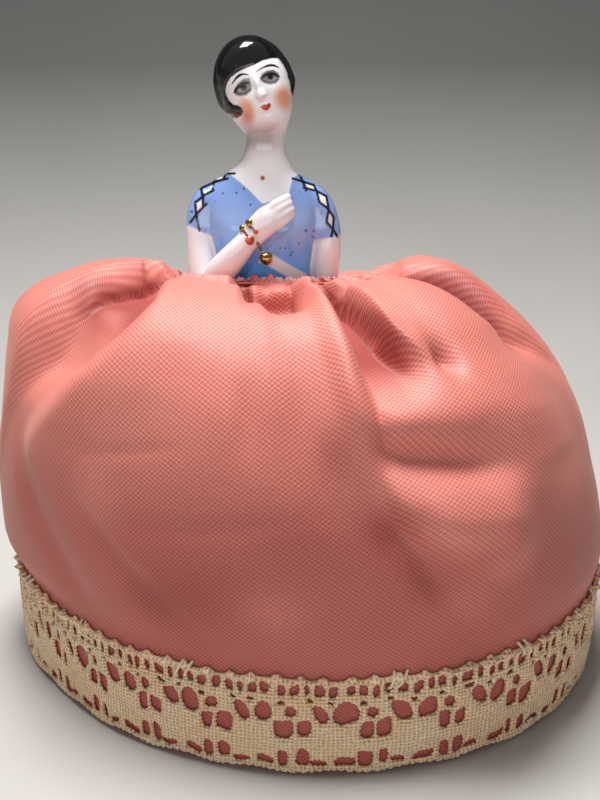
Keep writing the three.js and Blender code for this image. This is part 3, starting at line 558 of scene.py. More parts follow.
class Nodes:
    """A material's node tree, with short ways to add and join its nodes."""

    def __init__(self, name):
        self.material = bpy.data.materials.new(name)
        self.material.use_nodes = True
        self.tree = self.material.node_tree
        self.shader = self.tree.nodes["Principled BSDF"]

    def add(self, kind, inputs=None, **settings):
        made = self.tree.nodes.new(kind)
        for key, value in settings.items():
            setattr(made, key, value)
        for key, value in (inputs or {}).items():
            self.put(made.inputs[key], value)
        return made

    def put(self, socket, value):
        if isinstance(value, bpy.types.NodeSocket):
            self.tree.links.new(value, socket)
        else:
            socket.default_value = value

    def set(self, **values):
        for key, value in values.items():
            self.put(self.shader.inputs[key.replace("_", " ")], value)

    def math(self, operation, first, second=0.0):
        return self.add("ShaderNodeMath", {0: first, 1: second}, operation=operation).outputs[0]

    def mix(self, share, first, second):
        inputs = {0: share, 6: first, 7: second}
        return self.add("ShaderNodeMix", inputs, data_type="RGBA").outputs[2]

    def place(self):
        return self.add("ShaderNodeTexCoord").outputs["Object"]

    def point_value(self, name, output="Fac"):
        return self.add("ShaderNodeAttribute", attribute_name=name).outputs[output]

    def noise(self, scale, detail=3.0, roughness=0.5):
        inputs = {"Vector": self.place(), "Scale": scale, "Detail": detail, "Roughness": roughness}
        return self.add("ShaderNodeTexNoise", inputs).outputs["Fac"]

    def spread(self, value, low, high, to_low=0.0, to_high=1.0):
        inputs = {"Value": value, "From Min": low, "From Max": high, "To Min": to_low, "To Max": to_high}
        return self.add("ShaderNodeMapRange", inputs).outputs[0]

    def bump(self, height, distance, strength=1.0):
        inputs = {"Strength": strength, "Distance": distance * MM, "Height": height}
        self.set(Normal=self.add("ShaderNodeBump", inputs).outputs["Normal"])

    def cloth_wave(self, axis, period, strayed=0.0):
        """Cosine of a cloth coordinate, one wave every period millimetres, whose threads may stray."""
        place = self.add("ShaderNodeUVMap", uv_map="cloth").outputs[0]
        parts = self.add("ShaderNodeSeparateXYZ", {"Vector": place})
        turn = self.math("MULTIPLY", parts.outputs[axis], 2 * math.pi / period)
        return self.math("COSINE", self.math("ADD", turn, strayed))


# Weave of the silk: length of a rib across and along, and its relief
WEAVE_ACROSS = 1.5
WEAVE_ALONG = 1.15
WEAVE_RELIEF = 0.04
# Stitches of the lace: across, up, how far each set strays, and their relief
STITCH_ACROSS = 1.2
STITCH_UP = 1.0
STITCH_STRAY = (7, 9)
STITCH_RELIEF = 0.18


def silk_material():
    made = Nodes("ribbed_silk")
    weave = made.math("MULTIPLY", made.cloth_wave(0, WEAVE_ACROSS), made.cloth_wave(1, WEAVE_ALONG))
    slub = made.noise(90, 4)
    faded = made.spread(made.noise(28, 3), 0.35, 0.7)
    ground = made.mix(faded, srgb(198, 95, 83), srgb(204, 103, 91))
    ground = made.mix(made.spread(slub, 0.45, 0.75, 0, 0.35), ground, srgb(186, 82, 72))
    pale = made.mix(faded, srgb(227, 141, 126), srgb(232, 151, 137))
    shade = made.spread(weave, -0.8, 0.8, 0.05, 0.95)
    # Painted shade: where shade is painted on the skirt, the silk turns towards this deep red
    deep = made.mix(shade, srgb(122, 30, 28), srgb(158, 56, 50))
    painted_shade_share = made.math("MULTIPLY", made.point_value("painted_shade"), 0.85)
    made.set(Base_Color=made.mix(painted_shade_share, made.mix(shade, ground, pale), deep), Roughness=0.55)
    made.set(Sheen_Weight=0.22, Sheen_Roughness=0.4, Sheen_Tint=srgb(255, 206, 192))
    made.bump(weave, WEAVE_RELIEF)
    return made.material


def lace_material():
    made = Nodes("cream_lace")
    rib = made.cloth_wave(0, STITCH_ACROSS, made.math("MULTIPLY", made.noise(260, 2), STITCH_STRAY[0]))
    cross = made.cloth_wave(1, STITCH_UP, made.math("MULTIPLY", made.noise(220, 2), STITCH_STRAY[1]))
    both = made.math("ADD", rib, cross)
    grime = made.noise(60, 4)
    fine = made.noise(900, 2)
    tone = made.mix(made.spread(grime, 0.35, 0.7), srgb(255, 212, 162), srgb(255, 226, 186))
    # Painted shade: brown where the stitches part, for the shade between the threads
    tone = made.mix(made.spread(both, -2, 0.2, 0.75, 0), tone, srgb(150, 108, 72))
    tone = made.mix(made.spread(fine, 0.4, 0.7, 0, 0.3), tone, srgb(255, 238, 210))
    made.set(Base_Color=tone, Roughness=0.85, Sheen_Weight=0.15)
    made.bump(made.math("ADD", both, fine), STITCH_RELIEF)
    return made.material


def thread_material(name, dark, pale):
    made = Nodes(name)
    inputs = {"Vector": made.place(), "Scale": 700, "Distortion": 1.0}
    twist = made.add("ShaderNodeTexWave", inputs, bands_direction="DIAGONAL").outputs["Fac"]
    made.set(Base_Color=made.mix(twist, dark, pale), Roughness=0.75)
    made.bump(twist, 0.1)
    return made.material


def mottled_material(name, tones, grain, contrast, relief, **finish):
    """Two tones mixed by a noise, given as scale, detail and roughness, that also shapes the surface."""
    made = Nodes(name)
    mottle = made.noise(*grain)
    made.set(Base_Color=made.mix(made.spread(mottle, *contrast), *tones), **finish)
    made.bump(mottle, relief)
    return made.material


def cotton_material(name, dark, pale, scale):
    return mottled_material(name, (dark, pale), (scale, 6, 0.65), (0.3, 0.7), 0.4, Roughness=0.95)


def card_material():
    tones = (srgb(160, 138, 108), srgb(186, 164, 132))
    return mottled_material("card", tones, (260, 5, 0.6), (0.35, 0.65), 0.1, Roughness=0.9)


def porcelain_material():
    """Clear glaze over the colours painted on the figure, with dark specks in the blue."""
    made = Nodes("porcelain")
    blue = made.point_value("blue")
    specks = made.add("ShaderNodeTexVoronoi", {"Vector": made.place(), "Scale": 400})
    speck = made.spread(specks.outputs["Distance"], 0.1, 0.2, 1, 0)
    chosen = made.spread(made.noise(150, 2), 0.46, 0.56)
    speck = made.math("MULTIPLY", made.math("MULTIPLY", speck, chosen), blue)
    cloud = made.math("MULTIPLY", made.spread(made.noise(120, 4), 0.3, 0.75, 0, 0.3), blue)
    tone = made.mix(cloud, made.point_value("paint", "Color"), srgb(112, 134, 192))
    tone = made.mix(made.math("MULTIPLY", speck, 0.75), tone, srgb(38, 52, 120))
    made.set(Base_Color=tone, Roughness=0.14, Coat_Weight=0.6, Coat_Roughness=0.05)
    made.bump(made.noise(70, 2), 0.12, 0.5)
    return made.material


def gilt_material():
    tones = (srgb(150, 104, 30), srgb(236, 200, 110))
    return mottled_material("gilt", tones, (500, 3), (0.3, 0.7), 0.08, Metallic=1.0, Roughness=0.22)


def red_enamel_material():
    tones = (srgb(150, 44, 14), srgb(226, 104, 44))
    finish = {"Roughness": 0.2, "Coat_Weight": 0.5}
    return mottled_material("red_enamel", tones, (600, 3), (0.35, 0.65), 0.05, **finish)


def floor_material():
    """Pale floor whose colour deepens to grey up the backdrop, as painted shade where less light reaches
    it.
    """
    made = Nodes("floor")
    parts = made.add("ShaderNodeSeparateXYZ", {"Vector": made.place()})
    height = made.spread(parts.outputs[2], 0.0, 0.16)
    mottle = made.spread(made.noise(6, 4), 0.3, 0.7)
    floor = made.mix(mottle, srgb(188, 185, 180), srgb(194, 191, 186))
    wall = made.mix(mottle, srgb(112, 111, 108), srgb(116, 115, 112))
    made.set(Base_Color=made.mix(height, floor, wall), Roughness=0.85)
    return made.material


SKIRT_COLUMNS = 480
SKIRT_ROWS = 160
ROW_CROWDING = 1.15
ROW_PARTS = np.linspace(0, 1, SKIRT_ROWS) ** ROW_CROWDING
# Rows of the drawn-up edge, from inside the waist out over the top: inset, and share of its height
# above the waist or of its depth below
EDGE_ROWS = [
    (1.9, -1.6), (1.7, -0.6), (1.5, 0.2), (1.2, 0.7), (0.8, 0.95), (0.35, 1.0), (0.0, 0.86),
    (-0.2, 0.55), (-0.2, 0.25),
]
EDGE_DEPTH = 4
EDGE_SWAY = 0.75
HEM_INSETS = [0.6, 3.0, 8.0, HEM_TURN_UNDER]
# Loops of silk that stand up from the drawn-up edge: degrees, half width, height
EDGE_LOOPS = [
    (-97, 9, 2.4), (-80, 8, 2.6), (-2.3, 1.7, 2.3), (2.8, 1.7, 2.1), (27, 2.5, 1.2), (36, 2.5, 1.5),
    (46, 3, 1.6), (57, 3, 1.3),
]
# Loops round the back: how many, where the first is, the steps between them, and their size
BACK_LOOPS = 8
BACK_LOOPS_FROM = 118
BACK_LOOP_STEP = 19
BACK_LOOP_SIZE = (3, 1.3)


def edge_height(angle):
    """Height of the drawn-up edge above the waist, raised here and there in a loop of silk."""
    loops = list(EDGE_LOOPS)
    for index in range(BACK_LOOPS):
        degrees = BACK_LOOPS_FROM + BACK_LOOP_STEP * index + 5 * math.sin(2.7 * index)
        loops.append((degrees, *BACK_LOOP_SIZE))
    height = 1.0 + 0.2 * np.sin(31 * angle + 1.7 * np.sin(5 * angle))
    for degrees, wide, rise in loops:
        height = height + rise * bell(angle, degrees, wide)
    return height


def skirt_rows(folded):
    """Rows of the silk: up the inside of the waist, over its edge, down to the hem and under it."""
    angle = np.linspace(-math.pi, math.pi, SKIRT_COLUMNS + 1)
    ripple = gathers(angle)
    away = outwards(angle)
    waist = waist_level(angle)
    edge = edge_height(angle)
    rows = []
    for inset, rise in EDGE_ROWS:
        sway = EDGE_SWAY * ripple * max(rise, 0) * folded
        level = waist + (edge if rise > 0 else EDGE_DEPTH) * rise
        rows.append(opening_point(angle, inset, level) + away * sway[:, None])
    for part in ROW_PARTS:
        parts = part + 0 * angle
        rise = fold_height(angle, parts) * folded
        rows.append(cushion_point(angle, parts) + cushion_normal(angle, parts) * rise[:, None])
    hem = plan_radius(angle) * (1 - HEM_TUCK)
    for inset in HEM_INSETS:
        row = away * (hem - inset)[:, None]
        row[:, 2] = HEM_LEVEL
        rows.append(row)
    rows = np.array(rows)
    rows[..., 2] = np.maximum(rows[..., 2], HEM_LEVEL)
    return rows


def cloth_lengths(rows):
    """Length of cloth round each row from the middle of the front, and down each column."""
    beside = np.linalg.norm(np.diff(rows, axis=1), axis=-1)
    across = np.concatenate([np.zeros((len(rows), 1)), np.cumsum(beside, axis=1)], axis=1)
    across = across - across[:, SKIRT_COLUMNS // 2][:, None]
    below = np.linalg.norm(np.diff(rows, axis=0), axis=-1)
    along = np.concatenate([np.zeros((1, rows.shape[1])), np.cumsum(below, axis=0)])
    return across, along - along[len(EDGE_ROWS)]


# Settling of the silk: coarser steps of its grid, time, furthest move, blur of the move along rows and
# columns, and the parts where the stitches at the waist let go and those at the wall take hold
SETTLE_STEP = 2
SETTLE_FRAMES = 20
SETTLE_CAP = 1.0
SETTLE_BLUR = (4, 3)
SETTLE_WAIST = (0.04, 0.12)
SETTLE_WALL = (0.55, 0.74)
SETTLE_CLOTH = {
    "quality": 6,
    "mass": 0.2,
    "tension_stiffness": 20,
    "compression_stiffness": 20,
    "bending_stiffness": 0.6,
    "use_pressure": True,
    "uniform_pressure_force": 4.0,
    "shrink_min": -0.012,
    "vertex_group_mass": "stitched",
}


def pressed_out(cloth):
    """Points of a cloth, in mm, after pressure from inside has moved what its stitches don't hold."""
    modifier = cloth.modifiers.new("cloth", "CLOTH")
    for key, value in SETTLE_CLOTH.items():
        setattr(modifier.settings, key, value)
    modifier.settings.effector_weights.gravity = 0
    modifier.point_cache.frame_start = 1
    modifier.point_cache.frame_end = SETTLE_FRAMES
    scene = bpy.context.scene
    for moment in range(1, SETTLE_FRAMES + 1):
        scene.frame_set(moment)
    moved = np.zeros(3 * len(cloth.data.vertices))
    graph = bpy.context.evaluated_depsgraph_get()
    cloth.evaluated_get(graph).data.vertices.foreach_get("co", moved)
    scene.frame_set(1)
    return moved / MM


def settled(rows):
    """The silk after the stuffing presses it out between its stitched waist and hem."""
    first = len(EDGE_ROWS)
    kept_rows = np.arange(first, first + SKIRT_ROWS, SETTLE_STEP)
    kept_columns = np.arange(0, SKIRT_COLUMNS, SETTLE_STEP)
    coarse = rows[np.ix_(kept_rows, kept_columns)]
    count = len(kept_columns)
    cloth = mesh_object("silk_settling", coarse.reshape(-1, 3), grid_faces(len(kept_rows), count), None)
    part = ROW_PARTS[kept_rows - first]
    held = np.maximum(1 - smooth(part, *SETTLE_WAIST), smooth(part, *SETTLE_WALL))
    group = cloth.vertex_groups.new(name="stitched")
    for row, weight in enumerate(held):
        group.add(range(row * count, (row + 1) * count), float(weight), "REPLACE")
    shift = pressed_out(cloth).reshape(coarse.shape) - coarse
    removed(cloth)
    length = np.linalg.norm(shift, axis=-1, keepdims=True)
    shift = shift * np.minimum(1, SETTLE_CAP / np.maximum(length, 1e-6))
    for axis in range(3):
        even = blurred(shift[..., axis], SETTLE_BLUR[0], 1, True)
        shift[..., axis] = blurred(even, SETTLE_BLUR[1], 0, False)
    return rows + spread_shift(shift, kept_rows, kept_columns, rows.shape)


def spread_shift(shift, kept_rows, kept_columns, shape):
    """Movement of a coarse grid laid evenly over the fine one, closing at the back."""
    shift = np.concatenate([shift, shift[:, :1]], axis=1)
    columns = np.append(kept_columns, SKIRT_COLUMNS)
    wide = np.zeros((len(kept_rows), shape[1], 3))
    made = np.zeros(shape)
    for axis in range(3):
        for row in range(len(kept_rows)):
            wide[row, :, axis] = np.interp(np.arange(shape[1]), columns, shift[row, :, axis])
        for column in range(shape[1]):
            moves = wide[:, column, axis]
            made[:, column, axis] = np.interp(np.arange(shape[0]), kept_rows, moves, left=0, right=0)
    return made


def make_skirt(material):
    rows = settled(skirt_rows(1.0))
    faces = grid_faces(len(rows), SKIRT_COLUMNS + 1, closed=False)
    made = mesh_object("silk_skirt", rows.reshape(-1, 3), faces, material)
    across, along = cloth_lengths(skirt_rows(0.0))
    set_uv(made, across.ravel(), along.ravel())
    # Painted shade of the silk for every point, which the material reads
    turns = np.linspace(-math.pi, math.pi, SKIRT_COLUMNS, endpoint=False)
    deep = painted_silk_shade(*np.meshgrid(turns, ROW_PARTS))
    deep = np.concatenate([deep, deep[:, :1]], axis=1)
    first = len(EDGE_ROWS)
    shade = np.zeros(rows.shape[:2])
    shade[:first] = deep[0]
    shade[first:first + SKIRT_ROWS] = deep
    set_values(made, "painted_shade", shade)
    return made


def wall_point(angle, height, offset):
    """Point at a height on the skirt's wall, moved out by an offset."""
    share = np.clip((BULGE_HEIGHT - height) / (BULGE_HEIGHT - HEM_LEVEL), 0, 1)
    point = cushion_point(angle, BULGE_PART + (1 - BULGE_PART) * share)
    point = point + outwards(angle) * offset[..., None]
    point[..., 2] = height
    return point


# Holes of one lace repeat: place across as a share, height, half width, half height, squareness, lean
LACE_HOLES = [
    (0.342, 18.3, 2.1, 2.6, 2.4, 0.4), (0.641, 18.0, 2.7, 2.9, 2.3, 0), (0.952, 18.7, 1.5, 1.6, 2.2, 0),
    (-0.114, 13.5, 1.9, 2.4, 4, 0), (0.114, 13.5, 1.9, 2.4, 4, 0),
    (-0.112, 4.4, 1.5, 2.4, 3, 0), (0.112, 4.4, 1.5, 2.4, 3, 0),
    (0.31, 3.2, 2.2, 0.8, 3, 0), (0.655, 3.3, 2.6, 1.2, 3, 0),
    (0.47, 21.7, 0.9, 0.5, 2, 0), (0.2, 21.9, 1.0, 0.6, 2, 0), (0.83, 21.5, 0.9, 0.6, 2, 0),
]
# Row of small holes under the heading: how many to a repeat, their level and their half sizes
LADDER_HOLES = 6
LADDER_LEVEL = 25.0
LADDER_HALF_WIDTH = 1.15
LADDER_HALF_HEIGHT = 1.6
# Knots along the heading and picots along the foot
KNOT_SPACING = 6.5
KNOT_HEIGHT = 1.2
PICOT_SPACING = 2.2
PICOT_HEIGHT = 0.7
LACE_CELLS_ACROSS = 56
LACE_CELLS_UP = 74


def knots(across):
    """Rise of the heading's knots, from 0 to 1."""
    return (0.5 + 0.5 * np.cos(2 * math.pi * across / KNOT_SPACING)) ** 2


def even_place(across, height, turn):
    """Where on an even lace a place on the real one belongs: its threads stray slowly and finely."""
    x = across + 0.5 * np.sin(31 * turn + 0.1 * height) + 0.25 * np.sin(83 * turn + 0.3 * height)
    x = x + 0.17 * np.sin(4.7 * height + 1.1 * across)
    y = height + 0.4 * np.sin(47 * turn + 0.9) + 0.2 * np.sin(101 * turn + 0.3 * height)
    y = y + 0.17 * np.sin(4.9 * across + 0.8 * height)
    return x, y


def lace_field(across, height):
    """Distance into the thread, in mm: positive on the lace and negative in its holes."""
    turn = across / (LACE_REPEAT * LACE_REPEATS) * 2 * math.pi
    x, y = even_place(across, height, turn)
    share = x / LACE_REPEAT - LACE_PHASE
    field = np.full(across.shape, 9.0)
    for place, level, half_width, half_height, power, lean in LACE_HOLES:
        grown = 1.06 + 0.12 * np.sin(13 * turn + 7 * place + level)
        aside = ((share - place + 0.5) % 1 - 0.5) * LACE_REPEAT + lean * (y - level)
        dx = np.abs(aside / (half_width * grown))
        dy = np.abs((y - level) / (half_height * grown))
        gap = (dx**power + dy**power) ** (1 / power) - 1
        field = np.minimum(field, gap * min(half_width, half_height))
    aside = ((share * LADDER_HOLES + 0.5) % 1 - 0.5) * LACE_REPEAT / LADDER_HOLES
    dx = np.abs(aside / (LADDER_HALF_WIDTH + 0.22 * np.sin(57 * turn)))
    dy = np.abs((y - LADDER_LEVEL) / (LADDER_HALF_HEIGHT + 0.2 * np.sin(39 * turn + 2)))
    field = np.minimum(field, ((dx**3 + dy**3) ** (1 / 3) - 1) * 1.1)
    top = LACE_HEIGHT - 0.6 + KNOT_HEIGHT * knots(x) + 0.3 * np.sin(17 * turn) - height
    scallop = 0.5 - 0.5 * np.cos(2 * math.pi * share)
    picots = PICOT_HEIGHT * np.abs(np.sin(math.pi * x / PICOT_SPACING))
    bottom = height - (scallop + 0.3 - picots)
    return np.minimum(field, np.minimum(top, bottom))


def cut_cells(values):
    """Outline polygons of the region where values are positive, on a grid that closes across.
    Returns the polygons, as corner keys, and where each key lies on the grid."""
    columns, rows = values.shape
    places = {}
    polygons = []

    def crossing(first, second):
        key = (first, second) if first < second else (second, first)
        if key not in places:
            share = values[first] / (values[first] - values[second])
            step = second[0] - first[0]
            step = 1 if step < -1 else -1 if step > 1 else step
            places[key] = (first[0] + share * step, first[1] + share * (second[1] - first[1]))
        return key

    for column in range(columns):
        beside = (column + 1) % columns
        for row in range(rows - 1):
            corners = [(column, row), (beside, row), (beside, row + 1), (column, row + 1)]
            inside = [values[corner] > 0 for corner in corners]
            if not any(inside):
                continue
            outline = []
            for index, corner in enumerate(corners):
                after = (index + 1) % 4
                if inside[index]:
                    places.setdefault(corner, corner)
                    outline.append(corner)
                if inside[index] != inside[after]:
                    outline.append(crossing(corner, corners[after]))
            polygons.append(outline)
    return polygons, places


def lace_swell(across, up):
    """Thickness of the lace, fullest along the middle of its threads and roped along its heading."""
    depth = np.sqrt(np.clip(lace_field(across, up), 0, 1.0))
    heading = np.exp(-(((up - LACE_HEIGHT + 0.9) / 0.9) ** 2))
    return LACE_THICKNESS * (0.3 + 0.9 * depth) + heading * (0.5 + 0.9 * knots(across)) * depth


def doubled(faces, count):
    """Faces, the same ones turned over for the points count further on, and walls along open edges."""
    edges = {}
    for face in faces:
        for index, start in enumerate(face):
            stop = face[(index + 1) % len(face)]
            if edges.pop((stop, start), None) is None:
                edges[(start, stop)] = True
    walls = [[stop, start, start + count, stop + count] for start, stop in edges]
    rear = [[index + count for index in reversed(face)] for face in faces]
    return faces + walls + rear


def make_lace(material):
    columns = LACE_REPEATS * LACE_CELLS_ACROSS
    length = LACE_REPEATS * LACE_REPEAT
    grid_across = np.arange(columns) / columns * length
    grid_up = np.linspace(-0.4, LACE_HEIGHT + 0.8, LACE_CELLS_UP)
    values = lace_field(*np.meshgrid(grid_across, grid_up, indexing="ij"))
    polygons, places = cut_cells(values)
    keys = list(places)
    number = {key: index for index, key in enumerate(keys)}
    spots = np.array([places[key] for key in keys], float)
    across = (spots[:, 0] % columns) / columns * length
    up = np.interp(spots[:, 1], np.arange(LACE_CELLS_UP), grid_up)
    turn = across / length * 2 * math.pi + math.pi
    lift = 0.2 * np.sin(9 * turn + 1) * np.clip(1 - up / 10, 0, 1) + 0.2
    front = wall_point(turn, LACE_BOTTOM + up, CLEARANCE + lift + lace_swell(across, up))
    back = wall_point(turn, LACE_BOTTOM + up, CLEARANCE + 0 * turn)
    faces = doubled([[number[key] for key in polygon] for polygon in polygons], len(keys))
    made = mesh_object("bobbin_lace", np.concatenate([front, back]), faces, material)
    set_uv(made, np.tile(across, 2), np.tile(up, 2))
    return made


# Rows that round off the end of a limb: share of its radius across and along
DOME_ROWS = [(0.87, 0.5), (0.5, 0.87), (0.05, 1.0)]


def tube(points, radii, sides, flatten=1.0):
    """Rows of a round limb along points, domed at each end. Flatten thins it along Y."""
    points = np.asarray(points, float)
    ahead = np.gradient(points, axis=0)
    ahead /= np.linalg.norm(ahead, axis=1, keepdims=True)
    side = np.cross(ahead, [0.0, 1.0, 0.0])
    side /= np.linalg.norm(side, axis=1, keepdims=True)
    over = np.cross(side, ahead)
    turn = np.linspace(0, 2 * math.pi, sides, endpoint=False)
    last = len(points) - 1
    places = [(0, width, -forward) for width, forward in reversed(DOME_ROWS)]
    places += [(index, 1.0, 0.0) for index in range(last + 1)]
    places += [(last, width, forward) for width, forward in DOME_ROWS]
    rows = []
    for index, width, forward in places:
        middle = points[index] + ahead[index] * forward * radii[index]
        ring = np.cos(turn)[:, None] * side[index] + flatten * np.sin(turn)[:, None] * over[index]
        rows.append(middle + ring * radii[index] * width)
    return np.array(rows)


def spline(points, count):
    """Smooth curve through points, and the values that go with them, sampled evenly."""
    points = np.asarray(points, float)
    padded = np.concatenate([2 * points[:1] - points[1:2], points, 2 * points[-1:] - points[-2:-1]])
    place = np.linspace(0, len(points) - 1 - 1e-6, count)
    index = np.floor(place).astype(int)
    corners = [padded[index + step] for step in range(4)]
    return cubic(*corners, (place - index)[:, None])


# Figure's body: level, half width, half depth, sideways from the figure's middle, forwards
BODY_SECTIONS = [
    (100.4, 16.0, 10.8, 0, 0), (103, 16.0, 10.8, 0, 0), (106, 15.2, 10.0, 0, 0), (112, 14.4, 9.2, 0, 0),
    (119, 14.5, 9.3, 0, 0), (126, 15.2, 9.9, 0, 0.3), (133, 16.4, 10.6, 0, 1.0),
    (139, 17.0, 9.6, 0, 0.5), (143.5, 16.2, 8.2, 0, 0), (146.6, 13.0, 7.2, -0.1, 0),
    (149, 9.9, 6.7, -0.2, 0), (151.1, 8.2, 6.4, 0.4, 0), (153.1, 6.9, 6.1, 0.8, 0),
    (155.4, 6.0, 5.7, 0.8, 0), (158.3, 5.5, 5.4, 1.1, 0), (161, 5.45, 5.4, 1.2, 0),
    (165, 5.6, 5.8, 1.1, 0.4), (169, 5.6, 5.8, 0.2, 0.4),
]
# Arms: x, y, z and radius along each
UPPER_ARM = [
    (-27.6, 0, 139.5, 4.3), (-29.4, -1, 134, 4.4), (-29.6, -2.5, 127, 4.2), (-28.6, -5, 119, 4.3),
    (-26.5, -8, 114, 4.3),
]
FOREARM = [
    (-26.5, -8, 114, 4.3), (-23.6, -11.5, 120.5, 4.4), (-18.9, -14.2, 126.5, 3.9),
    (-14.6, -15.4, 131.6, 3.1),
]
HAND = [
    (-14.8, -15.2, 131.4, 3.5), (-12.4, -15.4, 134.0, 3.8), (-9.6, -15.2, 136.7, 4.1),
    (-7.4, -14.6, 138.3, 3.8),
]
FINGERS = [
    [(-9.2, -15.2, 139.9, 1.3), (-6.2, -14.8, 142.0, 1.3), (-3.5, -13.2, 143.3, 1.15)],
    [(-8.4, -15.6, 138.4, 1.35), (-5.6, -15.2, 140.4, 1.3), (-3.1, -13.6, 141.7, 1.15)],
    [(-7.4, -15.5, 136.9, 1.35), (-4.8, -15.2, 138.7, 1.3), (-2.5, -13.6, 139.9, 1.15)],
    [(-6.4, -15.0, 135.4, 1.3), (-4.2, -14.8, 137.0, 1.3), (-2.3, -13.2, 138.3, 1.1)],
]
LEFT_ARM = [
    (5.4, 0, 139.5, 4.3), (7.6, -0.6, 134, 4.2), (7.9, -1, 128, 4.4), (7.5, -1, 121, 4.3),
    (7.0, -1.4, 112, 3.8), (6.6, -2, 108, 2.8),
]
RIGHT_SLEEVE = [
    (-22.5, 0, 144.3, 3.4), (-26.2, -0.2, 140.7, 5.0), (-28.2, -0.4, 136.5, 5.3),
    (-28.5, -0.8, 132.8, 5.2),
]
LEFT_SLEEVE = [
    (0.2, 0, 144.3, 3.4), (3.5, -0.2, 140.5, 5.0), (5.7, -0.4, 136.5, 5.3), (6.2, -0.8, 132.4, 5.2),
]
BODY_POWER = 2.25
BODY_ROWS = 120
BODY_SIDES = 72
LIMB_ROWS = 24
LIMB_SIDES = 28
HAND_FLATNESS = 0.6
# Skin drawn over the body and limbs: size of its cells and how often it is smoothed
SKIN_CELL = 0.36
SKIN_PASSES = 6


def body_rows():
    turn = np.linspace(0, 2 * math.pi, BODY_SIDES, endpoint=False)
    across, along = squared_circle(turn, BODY_POWER)
    rows = []
    for level, half_width, half_depth, sideways, forwards in spline(BODY_SECTIONS, BODY_ROWS):
        x = DOLL_X + sideways + half_width * across
        y = -forwards - half_depth * along
        rows.append(np.stack([x, y, level + 0 * turn], -1))
    return np.array(rows)


def limb_rows(places, flatten=1.0):
    curve = spline(places, LIMB_ROWS)
    return tube(curve[:, :3], curve[:, 3], LIMB_SIDES, flatten)


def joined_rows(groups):
    """Points and faces of several closed lofts, each capped at both ends."""
    points = []
    faces = []
    for rows in groups:
        first = sum(len(block) for block in points)
        count, sides = rows.shape[:2]
        loft = np.array(grid_faces(count, sides)) + first
        faces += loft.tolist()
        faces.append(list(range(first + sides - 1, first - 1, -1)))
        faces.append(list(range(first + (count - 1) * sides, first + count * sides)))
        points.append(rows.reshape(-1, 3))
    return np.concatenate(points), faces


def remeshed(name, points, faces):
    """One smooth skin over overlapping closed forms."""
    rough = mesh_object(name + "_rough", points, faces, None)
    remesh = rough.modifiers.new("remesh", "REMESH")
    remesh.mode = "VOXEL"
    remesh.voxel_size = SKIN_CELL * MM
    soften = rough.modifiers.new("soften", "SMOOTH")
    soften.factor = 0.5
    soften.iterations = SKIN_PASSES
    graph = bpy.context.evaluated_depsgraph_get()
    mesh = bpy.data.meshes.new_from_object(rough.evaluated_get(graph))
    mesh.name = name
    removed(rough)
    mesh.polygons.foreach_set("use_smooth", [True] * len(mesh.polygons))
    return linked(name, mesh)


def vertex_data(made):
    count = len(made.data.vertices)
    points = np.zeros(count * 3)
    normals = np.zeros(count * 3)
    made.data.vertices.foreach_get("co", points)
    made.data.vertices.foreach_get("normal", normals)
    return points.reshape(-1, 3) / MM, normals.reshape(-1, 3)


def camera_axes():
    """Directions ahead of the camera and up its frame."""
    pitch = CAMERA_PITCH * DEGREE
    ahead = np.array([0, math.cos(pitch), -math.sin(pitch)])
    up = np.array([0, math.sin(pitch), math.cos(pitch)])
    return ahead, up


def to_pixels(points):
    """Where points in mm fall in the camera's 600 by 800 frame."""
    ahead, up = camera_axes()
    seen = points - CAMERA_PLACE
    depth = seen @ ahead
    across = FRAME_MIDDLE[0] + FOCAL_PIXELS * seen[..., 0] / depth
    down = FRAME_MIDDLE[1] - FOCAL_PIXELS * (seen @ up) / depth
    return np.stack([across, down], -1)


def facing(points, normals):
    """Cosine between a surface's normal and the way to the camera."""
    way = CAMERA_PLACE - points
    way /= np.linalg.norm(way, axis=1, keepdims=True)
    return (way * normals).sum(1)


def line_distance(spots, line):
    line = np.asarray(line, float)
    nearest = np.full(len(spots), 1e9)
    for start, stop in zip(line[:-1], line[1:]):
        along = stop - start
        share = np.clip(((spots - start) @ along) / (along @ along), 0, 1)
        nearest = np.minimum(nearest, np.linalg.norm(spots - start - share[:, None] * along, axis=1))
    return nearest


def in_polygon(spots, outline):
    outline = np.asarray(outline, float)
    inside = np.zeros(len(spots), bool)
    x, y = spots[:, 0], spots[:, 1]
    for (x1, y1), (x2, y2) in zip(outline, np.roll(outline, -1, axis=0)):
        crosses = (y1 > y) != (y2 > y)
        if y1 != y2:
            inside ^= crosses & (x < (x2 - x1) * (y - y1) / (y2 - y1) + x1)
    return inside


def polygon_depth(spots, outline):
    """Distance in pixels to a polygon's outline, positive inside it."""
    closed = list(outline) + [outline[0]]
    return np.where(in_polygon(spots, outline), 1, -1) * line_distance(spots, closed)


def painted(colours, mask, colour):
    return colours + (np.array(colour[:3]) - colours) * mask[:, None]


def write_paint(made, colours, blue):
    paint = made.data.attributes.new("paint", "FLOAT_COLOR", "POINT")
    opaque = np.concatenate([colours, np.ones((len(colours), 1))], axis=1)
    paint.data.foreach_set("color", opaque.ravel())
    set_values(made, "blue", blue)


def from_spot(spots, middle):
    """Distance from one place in the frame, in pixels."""
    return np.linalg.norm(spots - middle, axis=1)


WHITE_GLAZE = srgb(236, 231, 232)
BODICE_BLUE = srgb(130, 160, 216)
BODICE_SHADE = srgb(98, 172, 246)
# Grey of the shade painted under the chin, on the jaw and on the upper neck
PAINTED_SHADE_GREY = srgb(146, 132, 128)
BLACK_PAINT = srgb(16, 16, 18)
ROUGE = srgb(230, 148, 88)
LIP_RED = srgb(176, 44, 18)
EYE_GREY = srgb(76, 72, 71)
BROWN_PAINT = srgb(70, 40, 24)
BLOT_BLUE = srgb(44, 70, 160)
PENDANT_GILT = srgb(214, 164, 120)
PENDANT_RED = srgb(120, 50, 20)

